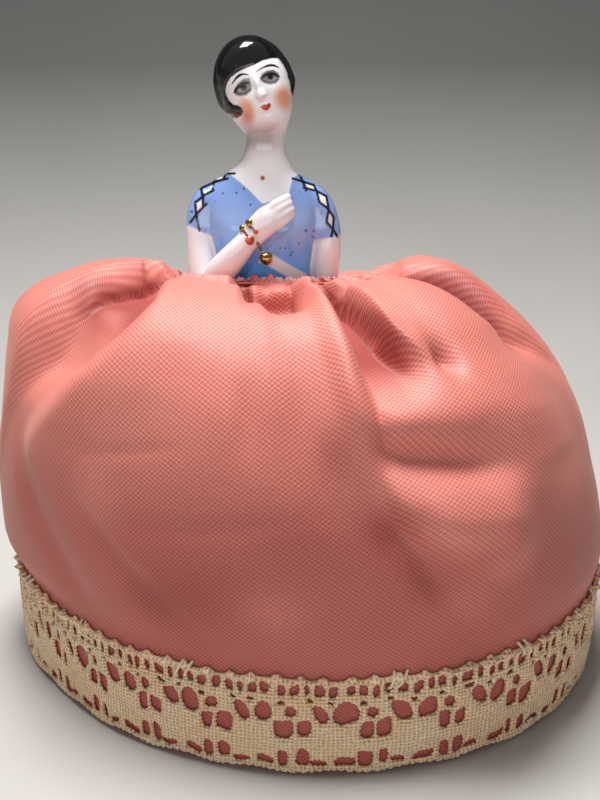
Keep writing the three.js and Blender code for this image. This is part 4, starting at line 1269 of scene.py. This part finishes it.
# Painted lines and shapes, where they fall in the camera's frame
LATTICE = [
    [(234.7, 173.6), (226, 173.6), (215.6, 177), (212.5, 188.5)],
    [(226.6, 171.7), (223.2, 179.4), (212.5, 183), (200.6, 188.5), (203.3, 195), (203.3, 205.5)],
    [(227.8, 178.6), (214, 181.5)],
    [(213.6, 190.3), (205, 194.7), (195.2, 202.3)],
    [(201, 187), (202.3, 196), (203.3, 205)],
    [(206.6, 203.9), (197.4, 213.1), (190.3, 222.3)],
    [(195.2, 204.5), (196.3, 214.2), (199.3, 230.5)],
]
LATTICE_RIGHT = [
    [
        (292.8, 178.4), (304.7, 182.2), (313.9, 185.2), (316.8, 191.4), (319.3, 201.7), (328.5, 209.3),
        (333.7, 217.5), (333.1, 229.4), (331.2, 236.4),
    ],
    [(299.8, 174.6), (306.3, 190.4)],
    [
        (303.6, 187.6), (316.6, 190.9), (326.4, 196.3), (328.7, 208.8), (326.6, 221.8), (333.9, 230.5),
        (337.2, 236.4),
    ],
]
DIAMONDS = [
    [(224.5, 174.6), (216, 178), (214.6, 181), (222.5, 178.8)],
    [(203.6, 190), (212, 188.6), (205.6, 193.6), (203.4, 195)],
    [(196.5, 203.8), (202.6, 199.5), (203, 205.5), (197.4, 212)],
    [(305.6, 183.2), (313.4, 186), (316, 190), (307.4, 188)],
    [(318, 192), (326, 197), (328, 208), (320, 201.4)],
    [(328.6, 210.4), (333, 217.6), (332.6, 228.6), (327.4, 221.4)],
]
NECK_OPENING = [
    (226, 172), (233, 176.5), (249, 190), (262.5, 204), (276, 200), (289, 194.5), (290.5, 186),
    (292.5, 179.5), (300, 172), (300, 20), (200, 20), (200, 166),
]
# Blots of darker blue: place and radius
BLOTS = [
    ((226.1, 178.6), 1.6), ((191.9, 211.8), 1.6), ((290.6, 199), 2.2), ((290.6, 206.6), 2.0),
    ((306, 230.5), 1.5), ((314, 231), 1.3), ((313, 237), 1.2), ((299, 243.5), 1.0),
]
SASH = [
    (262, 251), (270, 252.5), (287, 263.5), (306, 273.5), (309, 280), (292, 280), (272, 268),
    (258, 262),
]
RIGHT_SLEEVE_HEM = [(170, 222.5), (189, 225.5), (196, 229), (203, 232.5), (214, 236.5), (222, 238)]
LEFT_SLEEVE_HEM = [(312, 239), (322, 238.5), (331, 237.5), (340, 234.5), (352, 232)]
PENDANT = (262.6, 178)
BRACELET_CHAIN = [[(249, 226), (255, 231)], [(243.5, 231), (249, 238)], [(257.5, 243), (261, 250)]]
# Colour of the bodice: where it starts to deepen, and over what height; its edge across the nape
BODICE_DEEPENS_AT = 143
BODICE_DEEPENS_OVER = 18
NAPE_EDGE = (146.5, 147.3)


def limb_distance(points, places):
    """Distance from a limb's skin, in mm: negative inside it."""
    curve = spline(places, 30)
    nearest = np.full(len(points), 1e9)
    for x, y, z, radius in curve:
        nearest = np.minimum(nearest, np.linalg.norm(points - (x, y, z), axis=1) - radius)
    return nearest


def bare_skin(points, spots):
    """Where the arms, the raised hand and the neck are out of the bodice, from 0 to 1."""
    x = points[:, 0]
    right_hem = np.interp(spots[:, 0], *zip(*RIGHT_SLEEVE_HEM))
    left_hem = np.interp(spots[:, 0], *zip(*LEFT_SLEEVE_HEM))
    right = smooth(-limb_distance(points, UPPER_ARM), -1.4, -0.6) * (x < -22)
    left = smooth(-limb_distance(points, LEFT_ARM), -1.2, -0.5) * (x > 3)
    right = right * smooth(spots[:, 1] - right_hem, -0.6, 0.6)
    left = left * smooth(spots[:, 1] - left_hem, -0.6, 0.6)
    raised = np.min([limb_distance(points, limb) for limb in [FOREARM, HAND] + FINGERS], axis=0)
    arms = np.maximum(np.maximum(right, left), smooth(-raised, -0.75, -0.3))
    neck_front = smooth(polygon_depth(spots, NECK_OPENING), -0.8, 0.8)
    neck = np.where(points[:, 1] < 0.5, neck_front, smooth(points[:, 2], *NAPE_EDGE))
    return arms, neck


def paint_body(made):
    points, normals = vertex_data(made)
    spots = to_pixels(points)
    front = smooth(facing(points, normals), 0.02, 0.15)
    arms, neck = bare_skin(points, spots)
    sash = smooth(polygon_depth(spots, SASH), -0.6, 0.6) * front * (1 - arms)
    blue = (1 - arms) * (1 - neck) * (1 - sash)
    colours = np.tile(np.array(WHITE_GLAZE[:3]), (len(points), 1))
    # Painted shade under the chin, on the front of the neck
    colours = painted(colours, throat_shade(spots) * smooth(-points[:, 1], -4, 4), PAINTED_SHADE_GREY)
    # Painted shade: the lower bodice takes a second, shaded blue, set bluer against the pink light thrown
    # up from the silk
    low = smooth(BODICE_DEEPENS_AT - points[:, 2], 0, BODICE_DEEPENS_OVER)
    colours = painted(colours, blue * (1 - low), BODICE_BLUE)
    colours = painted(colours, blue * low, BODICE_SHADE)
    for diamond in DIAMONDS:
        mask = smooth(polygon_depth(spots, diamond), -0.6, 0.6) * front
        colours = painted(colours, mask, WHITE_GLAZE)
        blue = blue * (1 - mask)
    for line in LATTICE + LATTICE_RIGHT:
        mask = (1 - smooth(line_distance(spots, line), 0.9, 1.7)) * front
        colours = painted(colours, mask, BLACK_PAINT)
        blue = blue * (1 - mask)
    for middle, radius in BLOTS:
        mask = smooth(radius - from_spot(spots, middle), -0.8, 0.6) * front * blue
        colours = painted(colours, 0.85 * mask, BLOT_BLUE)
    for inner, outer, colour in ((2.0, 3.2, PENDANT_GILT), (1.2, 2.2, PENDANT_RED)):
        colours = painted(colours, (1 - smooth(from_spot(spots, PENDANT), inner, outer)) * front, colour)
    for line in BRACELET_CHAIN:
        mask = (1 - smooth(line_distance(spots, line), 0.9, 1.8)) * front
        colours = painted(colours, mask, BROWN_PAINT)
    write_paint(made, colours, blue)


# Head: half sizes, place, and its tilt and turn in degrees
HEAD_HALF_WIDTH = 10.0
HEAD_FRONT = 10.2
HEAD_BACK = 10.4
HEAD_TOP = 13.0
HEAD_CHIN = 12.6
JAW_POWER = 2.4
HEAD_PLACE = np.array([-12.95, -1.0, 173.3])
HEAD_ROLL = 19
HEAD_YAW = 7
HAIR_THICKNESS = 1.7
THROAT_REACH = 5.0
NAPE_LEVEL = -6.3
HEAD_COLUMNS = 420
HEAD_ROWS = 260

# Relief of the face: across, up, half sizes and height
FACE_RELIEF = [
    (-4.0, 1.0, 2.1, 1.5, -0.5), (4.0, 1.0, 2.1, 1.5, -0.5), (0.0, 0.6, 0.8, 2.2, 0.9),
    (0.0, -2.0, 1.1, 1.2, 1.8), (-0.8, -2.5, 0.7, 0.5, 0.4), (0.8, -2.5, 0.7, 0.5, 0.4),
    (0.3, -5.9, 1.7, 0.9, 0.45), (0.2, -7.6, 1.8, 0.6, -0.25), (0.0, -10.0, 2.4, 1.8, 0.7),
    (-5.0, -3.2, 2.4, 2.2, 0.3), (5.0, -3.2, 2.4, 2.2, 0.3),
]
HAIR_OUTLINE = [
    (195, 96), (212, 109), (226, 121), (236.5, 118.3), (241.2, 115.6), (243.4, 111.4), (241.4, 107.2),
    (237.2, 105), (233.8, 104.6), (229.8, 101), (226.6, 95.3), (225.6, 90), (227.1, 83.3),
    (231.1, 77.2), (237.2, 72.6), (245.2, 68.5), (254.6, 64.5), (262.6, 60.5), (271.3, 58.4),
    (280.7, 58), (287.6, 61), (289.8, 70), (291, 78.6), (291.2, 86), (290.4, 88.5), (290.8, 92),
    (293, 94), (294, 99), (300, 102), (320, 100), (320, 10), (195, 10),
]
BROWS = [
    [(232.1, 83.8), (235.4, 79), (239.4, 75.4), (243.4, 74.2), (248.4, 74.8)],
    [(256.2, 71.8), (260, 69.2), (264.4, 67), (269, 65.5), (273.6, 65.4), (278.8, 67.6)],
]
BROW_WIDTHS = [[0.5, 1.0, 1.4, 1.0, 0.4], [0.3, 0.6, 0.9, 1.3, 1.2, 0.5]]
LIDS = [
    [(234.6, 92.2), (236.6, 88.2), (240.4, 85.2), (245.6, 83), (250.4, 82.2)],
    [(260.6, 78.4), (264.4, 75.6), (269, 73.9), (274, 74), (278.9, 76.4)],
]
LID_WIDTHS = [[1.1, 1.4, 1.4, 0.9, 0.5], [0.5, 0.8, 1.1, 1.3, 1.0]]
EYE_SHADOWS = [
    [
        (233.6, 92), (237.4, 84), (243, 78.6), (249.6, 78), (252, 86), (251.8, 90.4), (246.4, 95.2),
        (240, 96.4), (235.4, 95),
    ],
    [
        (260, 80), (261.6, 74), (267, 70.4), (273.4, 69.6), (278.6, 73), (279.6, 79.6), (276, 83.6),
        (270, 84.8), (264, 83.2),
    ],
]
EYE_WHITES = [
    [(237, 91.4), (241, 86.4), (246, 84.6), (249.8, 84.6), (249.4, 89), (244.6, 92), (240, 93)],
    [(262.6, 79), (266, 76.4), (270, 75.6), (275, 76), (277.6, 78.4), (274, 80.8), (268, 81.4)],
]
PUPILS = [((243.2, 87.2), 3.1), ((270.4, 76.8), 2.9)]
LIPS = [
    (259.8, 107.2), (263.2, 104.5), (266.4, 104.9), (269.2, 102.7), (271.1, 104.6), (269.6, 108.4),
    (266.8, 110.8), (263.4, 109.6),
]
CHEEKS = [((247, 111), 9, 17, -12), ((283, 98), 10, 15, -10)]
# Painted shade in the glaze under the chin and on the jaw: strength, place and half size in the frame
THROAT_SHADE_STRENGTH = 0.85
THROAT_MIDDLE = 138
THROAT_HALF = 14
THROAT_FADE = (266, 289)
JAW_SHADE_STRENGTH = 0.5
JAW_MIDDLE = (248, 118)
JAW_HALF = (8, 10)


def throat_shade(spots):
    """How strongly shade is painted into the glaze under the chin and the doll's right jaw, less so towards
    its left.
    """
    down = (spots[:, 1] - THROAT_MIDDLE) / THROAT_HALF
    throat = THROAT_SHADE_STRENGTH * np.exp(-(down**2)) * (1 - 0.75 * smooth(spots[:, 0], *THROAT_FADE))
    near = (spots - JAW_MIDDLE) / JAW_HALF
    return np.maximum(throat, JAW_SHADE_STRENGTH * np.exp(-(near[:, 0] ** 2) - near[:, 1] ** 2))


def fillet(gap):
    """How far a skin is drawn out beside another that lies a gap away."""
    return np.clip(THROAT_REACH - np.maximum(gap, 0), 0, None) ** 2 / (4 * THROAT_REACH)


def neck_gap(points):
    """Distance outside the neck, in mm."""
    level, half_width, half_depth, sideways, forwards = spline(BODY_SECTIONS, BODY_ROWS).T
    wide = np.interp(points[:, 2], level, half_width)
    deep = np.interp(points[:, 2], level, half_depth)
    across = points[:, 0] - DOLL_X - np.interp(points[:, 2], level, sideways)
    along = points[:, 1] + np.interp(points[:, 2], level, forwards)
    return (np.hypot(across / wide, along / deep) - 1) * np.minimum(wide, deep)


def head_gap(points):
    """Distance outside the head, in mm."""
    local = (points - HEAD_PLACE) @ head_axes().T
    deep = np.where(local[:, 1] < 0, HEAD_FRONT, HEAD_BACK)
    around = np.hypot(local[:, 0] / HEAD_HALF_WIDTH, local[:, 1] / deep)
    reach = (around**JAW_POWER + np.abs(local[:, 2] / HEAD_CHIN) ** JAW_POWER) ** (1 / JAW_POWER)
    return (reach - 1) * HEAD_HALF_WIDTH


def head_axes():
    roll = HEAD_ROLL * DEGREE
    yaw = HEAD_YAW * DEGREE
    right = np.array([math.cos(roll), 0, math.sin(roll)])
    up = np.array([-math.sin(roll), 0, math.cos(roll)])
    back = np.array([0.0, 1.0, 0.0])
    turned_right = math.cos(yaw) * right + math.sin(yaw) * back
    turned_back = math.cos(yaw) * back - math.sin(yaw) * right
    return np.stack([turned_right, turned_back, up])


def hair_depth(points, normals, local):
    """Distance into the hair in pixels, positive under it: the outline in front, the nape behind."""
    front = polygon_depth(to_pixels(points), HAIR_OUTLINE)
    behind = (local[:, 2] - NAPE_LEVEL) * FOCAL_PIXELS / -CAMERA_PLACE[1]
    seen = smooth(facing(points, normals), 0.0, 0.25)
    return behind + (front - behind) * seen


def head_form():
    """Ways out from the head's middle, and the points and normals of the bare head about it."""
    longitude = np.linspace(-math.pi, math.pi, HEAD_COLUMNS, endpoint=False)
    latitude = np.linspace(-math.pi / 2, math.pi / 2, HEAD_ROWS)
    lat, lon = np.meshgrid(latitude, longitude, indexing="ij")
    way = np.stack([np.cos(lat) * np.sin(lon), -np.cos(lat) * np.cos(lon), np.sin(lat)], -1).reshape(-1, 3)
    deep = np.where(way[:, 1] < 0, HEAD_FRONT, HEAD_BACK)
    tall = np.where(way[:, 2] > 0, HEAD_TOP, HEAD_CHIN)
    sizes = np.stack([np.full(len(way), HEAD_HALF_WIDTH), deep, tall], -1)
    local = way * sizes
    down = np.clip(-way[:, 2], 0, 0.9999)
    jaw = (1 - down**JAW_POWER) ** (1 / JAW_POWER) / np.sqrt(1 - down**2)
    local[:, :2] *= np.minimum(jaw, 3)[:, None]
    normals = way / sizes
    normals /= np.linalg.norm(normals, axis=1, keepdims=True)
    relief = np.zeros(len(local))
    for across, up, half_width, half_height, rise in FACE_RELIEF:
        aside = (local[:, 0] - across) / half_width
        above = (local[:, 2] - up) / half_height
        relief += rise * np.exp(-(aside**2) - above**2)
    relief *= smooth(-way[:, 1], 0.05, 0.4)
    return way, local + normals * relief[:, None], normals


def make_head(material):
    way, local, normals = head_form()
    axes = head_axes()
    points = HEAD_PLACE + local @ axes
    outward = normals @ axes
    throat = fillet(neck_gap(points)) * smooth(-way[:, 2], 0.3, 0.6)
    points = points + outward * throat[:, None]
    depth = hair_depth(points, outward, local)
    lumps = 0.12 * np.sin(9 * way[:, 0] + 4) * np.sin(11 * way[:, 2] + 1) * np.sin(7 * way[:, 1])
    layer = 0.2 * smooth(depth, -0.6, 3) + 0.8 * smooth(depth, 0, 18)
    points = points + outward * ((HAIR_THICKNESS + lumps) * layer)[:, None]
    made = mesh_object("figure_head", points, grid_faces(HEAD_ROWS, HEAD_COLUMNS), material)
    paint_head(made, points, outward, depth)
    return made


def widths_along(spots, line, widths):
    """How far each spot lies inside a stroke of changing half width, in pixels."""
    dense = spline([(*point, width) for point, width in zip(line, widths)], 40)
    gap = np.full(len(spots), -1e9)
    for x, y, width in dense:
        gap = np.maximum(gap, width - np.hypot(spots[:, 0] - x, spots[:, 1] - y))
    return gap


def paint_head(made, points, normals, depth):
    spots = to_pixels(points)
    front = smooth(facing(points, normals), 0.0, 0.12)
    colours = np.tile(np.array(WHITE_GLAZE[:3]), (len(points), 1))
    for (x, y), wide, tall, tilt in CHEEKS:
        turn = tilt * DEGREE
        across = (spots[:, 0] - x) * math.cos(turn) + (spots[:, 1] - y) * math.sin(turn)
        along = (spots[:, 1] - y) * math.cos(turn) - (spots[:, 0] - x) * math.sin(turn)
        reach = np.hypot(across / wide, along / tall)
        colours = painted(colours, 0.85 * (1 - smooth(reach, 0.3, 1.2)) * front, ROUGE)
    # Painted shade under the chin and on the jaw
    colours = painted(colours, throat_shade(spots) * front, PAINTED_SHADE_GREY)
    for outline in EYE_SHADOWS:
        mask = smooth(polygon_depth(spots, outline), -1.2, 1.6) * front
        colours = painted(colours, 0.95 * mask, EYE_GREY)
    for outline in EYE_WHITES:
        mask = smooth(polygon_depth(spots, outline), -0.6, 0.8) * front
        colours = painted(colours, 0.2 * mask, WHITE_GLAZE)
    for middle, radius in PUPILS:
        mask = smooth(radius - from_spot(spots, middle), -0.5, 0.5) * front
        colours = painted(colours, mask, BLACK_PAINT)
    for line, widths in zip(BROWS + LIDS, BROW_WIDTHS + LID_WIDTHS):
        mask = smooth(widths_along(spots, line, widths), -0.5, 0.4) * front
        colours = painted(colours, mask, BLACK_PAINT)
    colours = painted(colours, smooth(polygon_depth(spots, LIPS), -0.5, 0.5) * front, LIP_RED)
    colours = painted(colours, smooth(depth, -0.4, 0.4), BLACK_PAINT)
    write_paint(made, colours, np.zeros(len(points)))


def camera_ray(pixel):
    ahead, up = camera_axes()
    across, down = (np.asarray(pixel, float) - FRAME_MIDDLE) / FOCAL_PIXELS
    way = ahead + across * np.array([1.0, 0, 0]) - down * up
    return Vector(way / np.linalg.norm(way))


def seat(tree, pixel):
    """Point and normal where the camera's line through a pixel meets a surface, in mm."""
    point, normal, _, _ = tree.ray_cast(Vector(CAMERA_PLACE * MM), camera_ray(pixel))
    return np.array(point) / MM, np.array(normal)


PEBBLE_SIDES = 24
PEBBLE_ROWS = 14
PEBBLE_LIFT = 0.35


def pebble(middle, normal, radius, height):
    """Rows of a flattened ball seated on a surface."""
    normal = normal / np.linalg.norm(normal)
    side = np.cross(normal, [0.3, 0.2, 1.0])
    side /= np.linalg.norm(side)
    over = np.cross(normal, side)
    turn = np.linspace(0, 2 * math.pi, PEBBLE_SIDES, endpoint=False)
    wobble = radius * (1 + 0.06 * np.sin(3 * turn + radius))
    ring = (np.cos(turn)[:, None] * side + np.sin(turn)[:, None] * over) * wobble[:, None]
    rows = []
    for latitude in np.linspace(0.05 - math.pi / 2, math.pi / 2 - 0.05, PEBBLE_ROWS):
        rows.append(middle + ring * math.cos(latitude) + normal * height * math.sin(latitude))
    return np.array(rows)


# Bracelet and waist ornament: place in the frame, radius and height in mm
GILT_BEADS = [((249.4, 222.9), 1.15, 0.7), ((242.6, 228.4), 1.1, 0.7)]
RED_BEADS = [((255.8, 231.8), 0.75, 0.6), ((249.8, 240.2), 1.35, 0.9), ((258, 244.4), 0.55, 0.5)]
WAIST_BALL = ((266.2, 257.6), 1.95, 1.8)


def make_beads(tree, places, name, material):
    groups = []
    for pixel, radius, height in places:
        point, normal = seat(tree, pixel)
        groups.append(pebble(point + normal * height * PEBBLE_LIFT, normal, radius, height))
    points, faces = joined_rows(groups)
    return mesh_object(name, points, faces, material)


def make_figure(material):
    groups = [body_rows(), limb_rows(UPPER_ARM), limb_rows(FOREARM), limb_rows(HAND, HAND_FLATNESS)]
    groups += [limb_rows(limb) for limb in [LEFT_ARM, RIGHT_SLEEVE, LEFT_SLEEVE] + FINGERS]
    made = remeshed("figure_body", *joined_rows(groups))
    points, normals = vertex_data(made)
    throat = fillet(head_gap(points)) * smooth(points[:, 2], 152, 157)
    made.data.vertices.foreach_set("co", ((points + normals * throat[:, None]) * MM).ravel())
    made.data.update()
    made.data.materials.append(material)
    paint_body(made)
    return made


RING_STEPS = 480
BAG_INSET = SILK_THICKNESS + CLEARANCE + 1.2
BAG_DEPTH = 2.0
BAG_LIP = 1.7
BAG_FRAY = 0.7


def make_lining(material):
    """Stuffed cotton bag: the figure's recess, its frayed lip and the outside down to the base."""
    angle = np.linspace(-math.pi, math.pi, RING_STEPS, endpoint=False)
    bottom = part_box("lining_bag")[0][2] / MM
    waist = waist_level(angle)
    frayed = 0.5 * np.sin(53 * angle + 2 * np.sin(9 * angle)) + 0.35 * np.sin(131 * angle + 1.0)
    top = waist + BAG_LIP + BAG_FRAY * frayed
    floor = opening_point(angle, BAG_INSET, RECESS_FLOOR)
    middle = np.array([DOLL_X, 0, RECESS_FLOOR])
    rows = [middle + (floor - middle) * share for share in (0.05, 0.5, 1)]
    for rise in np.linspace(0.1, 1, 9):
        level = RECESS_FLOOR + (top - RECESS_FLOOR) * rise
        rows.append(opening_point(angle, BAG_INSET - 0.4 * rise, level))
    rows.append(opening_point(angle, BAG_INSET - 0.8, top - 0.2))
    rows.append(opening_point(angle, BAG_INSET - 0.3, waist - 7.5))
    for part in np.linspace(0.08, 1, 60):
        parts = part + 0 * angle
        row = cushion_point(angle, parts) - BAG_DEPTH * cushion_normal(angle, parts)
        row[:, 2] = np.maximum(row[:, 2], bottom)
        rows.append(row)
    rim = rows[-1]
    for share in (0.9, 0.5, 0.05):
        row = rim * share
        row[:, 2] = bottom
        rows.append(row)
    points, faces = joined_rows([np.array(rows)])
    return mesh_object("lining", points, faces, material)


PUCKERS = 46
PUCKER_HEIGHT = 0.3
# Rings of the underside cloth, as shares of the way to its edge
CLOTH_RINGS = [0.03, 0.3, 0.6, 0.8, 0.88, 0.93, 0.97, 0.99]


def make_base_cloth(material):
    """Cotton drawn over the underside, puckered where its edge is sewn to the hem."""
    low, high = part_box("base_cloth")
    thickness = (high[2] - low[2]) / MM
    angle = np.linspace(-math.pi, math.pi, RING_STEPS, endpoint=False)
    edge = plan_radius(angle) * (1 - HEM_TUCK) - BASE_INSET
    pucker = 0.5 + 0.5 * np.sin(PUCKERS * angle + 2 * np.sin(5 * angle))
    under = [(share, 0) for share in CLOTH_RINGS]
    over = [(share, 1) for share in reversed(CLOTH_RINGS)]
    rows = []
    for share, level in under + [(1, 0.5)] + over:
        row = outwards(angle) * (edge * share)[:, None]
        drawn = pucker * smooth(share, 0.8, 0.97) * (1 - level)
        row[:, 2] = low[2] / MM + thickness * (level + PUCKER_HEIGHT * drawn)
        rows.append(row)
    points, faces = joined_rows([np.array(rows)[:, ::-1]])
    return mesh_object("underside_cloth", points, faces, material)


GATHERING_STEPS = 600
GATHERING_SIDES = 7
GATHERING_RADIUS = 0.3
GATHERING_OFFSET = 0.35


def make_gathering(material):
    """Thread that draws up the waist, showing where it crosses the hollows between the gathers."""
    angle = np.linspace(-math.pi, math.pi, GATHERING_STEPS, endpoint=False)
    low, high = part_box("gathering_thread")
    level = waist_level(angle) + (low[2] + high[2]) / 2 / MM - WAIST_HEIGHT
    middle = opening_point(angle, -GATHERING_OFFSET, level)
    rows = []
    for turn in np.linspace(0, 2 * math.pi, GATHERING_SIDES, endpoint=False):
        row = middle + outwards(angle) * GATHERING_RADIUS * math.cos(turn)
        row[:, 2] += GATHERING_RADIUS * math.sin(turn)
        rows.append(row)
    rows.append(rows[0])
    faces = grid_faces(len(rows), GATHERING_STEPS, flipped=True)
    return mesh_object("gathering_stitches", np.concatenate(rows), faces, material)


WHIP_RADIUS = 0.4
WHIP_LEAN = 2.4
WHIP_SPACING = 2.6
WHIP_DROP = 3.6
WHIP_HEIGHT = 4.6
WHIP_STEPS = 12
WHIP_SIDES = 8


def make_tack(name, index, material):
    """Two slanting stitches over the lace's heading."""
    low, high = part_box(name)
    place = (np.array(low) + np.array(high)) / 2 / MM
    start = math.atan2(place[0], -place[1])
    radius = math.hypot(place[0], place[1])
    share = np.linspace(0, 1, WHIP_STEPS)
    height = LACE_BOTTOM + LACE_HEIGHT - WHIP_DROP + WHIP_HEIGHT * share + 0.4 * math.sin(index)
    lift = 0.4 + 1.5 * np.sin(math.pi * np.clip(share * 1.05, 0, 1)) ** 0.7
    groups = []
    for step in (-0.5, 0.5):
        lean = WHIP_LEAN * (1 + 0.4 * math.sin(5 * index + 3 * step)) * (-1 if index % 3 == 1 else 1)
        angle = start + (step * WHIP_SPACING + lean * (share - 0.5)) / radius
        points = wall_point(angle, np.minimum(height, BULGE_HEIGHT - 0.01), lift)
        groups.append(tube(points, np.full(WHIP_STEPS, WHIP_RADIUS), WHIP_SIDES))
    points, faces = joined_rows(groups)
    return mesh_object("whip_" + name, points, faces, material)


# Floor and backdrop, in metres
STAGE_REACH = 8.0
STAGE_FLAT = 0.25
STAGE_CURVE = 0.9
STAGE_TOP = 3.0


def make_stage(material):
    """Floor that sweeps up into a backdrop."""
    profile = [(-STAGE_REACH, 0), (-1.2, 0), (-0.4, 0), (0.0, 0), (0.2, 0), (STAGE_FLAT, 0)]
    for turn in np.linspace(0, math.pi / 2, 49)[1:]:
        across = STAGE_FLAT + STAGE_CURVE * math.sin(turn)
        profile.append((across, STAGE_CURVE * (1 - math.cos(turn))))
    profile.append((STAGE_FLAT + STAGE_CURVE, STAGE_TOP))
    rows = np.array([[(side, y, z) for side in (-STAGE_REACH, STAGE_REACH)] for y, z in profile]) / MM
    faces = grid_faces(len(profile), 2, closed=False, flipped=True)
    made = mesh_object("stage", rows.reshape(-1, 3), faces, material)
    return made


# Lights, in metres and watts: name, place, target, size of the panel, power
PANELS = [
    ("overhead", (-0.08, 0.04, 0.8), (0.0, 0, 0.08), (0.36, 0.3), 9.2),
    ("low_front", (-0.1, -0.9, 0.1), (0, 0, 0.02), (1.3, 0.3), 2.3),
]
# Spot on the figure: place, target, width of its cone in degrees, its blend, radius and power
SPOT_PLACE = (0.04, -0.6, 0.66)
SPOT_TARGET = (-0.011, 0, 0.156)
SPOT_CONE = 6.4
SPOT_BLEND = 0.8
SPOT_RADIUS = 0.03
SPOT_POWER = 8.5
ROOM_COLOUR = (0.95, 0.97, 1.0, 1)
ROOM_STRENGTH = 0.22


def aim(made, place, target):
    made.location = place
    made.rotation_euler = (Vector(target) - Vector(place)).to_track_quat("-Z", "Y").to_euler()


def add_panel(name, place, target, size, power):
    data = bpy.data.lights.new(name, "AREA")
    data.shape = "RECTANGLE"
    data.size, data.size_y = size
    data.energy = power
    aim(linked(name, data), place, target)


def add_spot():
    """Light that brings out the figure and leaves no mirrored streak on its glaze."""
    data = bpy.data.lights.new("figure", "SPOT")
    data.energy = SPOT_POWER
    data.spot_size = SPOT_CONE * DEGREE
    data.spot_blend = SPOT_BLEND
    data.shadow_soft_size = SPOT_RADIUS
    made = linked("figure", data)
    made.visible_glossy = False
    aim(made, SPOT_PLACE, SPOT_TARGET)


def set_view():
    scene = bpy.context.scene
    data = bpy.data.cameras.new("camera")
    data.lens = LENS
    data.sensor_width = SENSOR
    made = linked("camera", data)
    made.location = Vector(CAMERA_PLACE * MM)
    made.rotation_euler = ((90 - CAMERA_PITCH) * DEGREE, 0, 0)
    scene.camera = made
    scene.view_settings.view_transform = "Standard"
    scene.world = bpy.data.worlds.new("world")
    scene.world.use_nodes = True
    room = scene.world.node_tree.nodes["Background"]
    room.inputs["Color"].default_value = ROOM_COLOUR
    room.inputs["Strength"].default_value = ROOM_STRENGTH
    for panel in PANELS:
        add_panel(*panel)
    add_spot()


set_view()
silk = silk_material()
porcelain = porcelain_material()
cream_thread = thread_material("cream_thread", srgb(206, 186, 150), srgb(244, 232, 206))
pink_thread = thread_material("pink_thread", srgb(190, 96, 86), srgb(236, 150, 138))
pink_cotton = cotton_material("pink_cotton", srgb(226, 158, 156), srgb(246, 196, 196), 700)
wadding = cotton_material("cotton_filling", srgb(214, 205, 188), srgb(238, 232, 218), 240)
card = card_material()

skirt = make_skirt(silk)
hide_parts("skirt")
lace = make_lace(lace_material())
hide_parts("lace_trim")
lining = make_lining(pink_cotton)
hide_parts("lining_bag", "cushion_filling")
underside = make_base_cloth(pink_cotton)
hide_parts("base_cloth")
body = make_figure(porcelain)
head = make_head(porcelain)
for piece in (body, head):
    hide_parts("half_doll")
tree = BVHTree.FromObject(body, bpy.context.evaluated_depsgraph_get())
gilt = make_beads(tree, GILT_BEADS + [WAIST_BALL], "gilt_beads", gilt_material())
red = make_beads(tree, RED_BEADS, "red_beads", red_enamel_material())
gathering = make_gathering(pink_thread)
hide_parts("gathering_thread")
tacks = []
for index, name in enumerate(sorted(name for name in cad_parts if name.startswith("lace_tack"))):
    tack = make_tack(name, index, cream_thread)
    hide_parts(name)
    tacks.append(tack)
for piece in (skirt, lace, lining, underside, body, head, gilt, red, gathering, *tacks):
    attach(piece, "root")

for name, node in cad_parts.items():
    if name.startswith(("lace_tack", "anchor_stitch")):
        chosen = cream_thread
    elif name in ("gathering_thread", "hem_thread"):
        chosen = pink_thread
    elif name in ("cushion_filling", "torso_wadding"):
        chosen = wadding
    elif name == "base_board":
        chosen = card
    else:
        chosen = pink_cotton
    node.data.materials.clear()
    node.data.materials.append(chosen)

make_stage(floor_material())
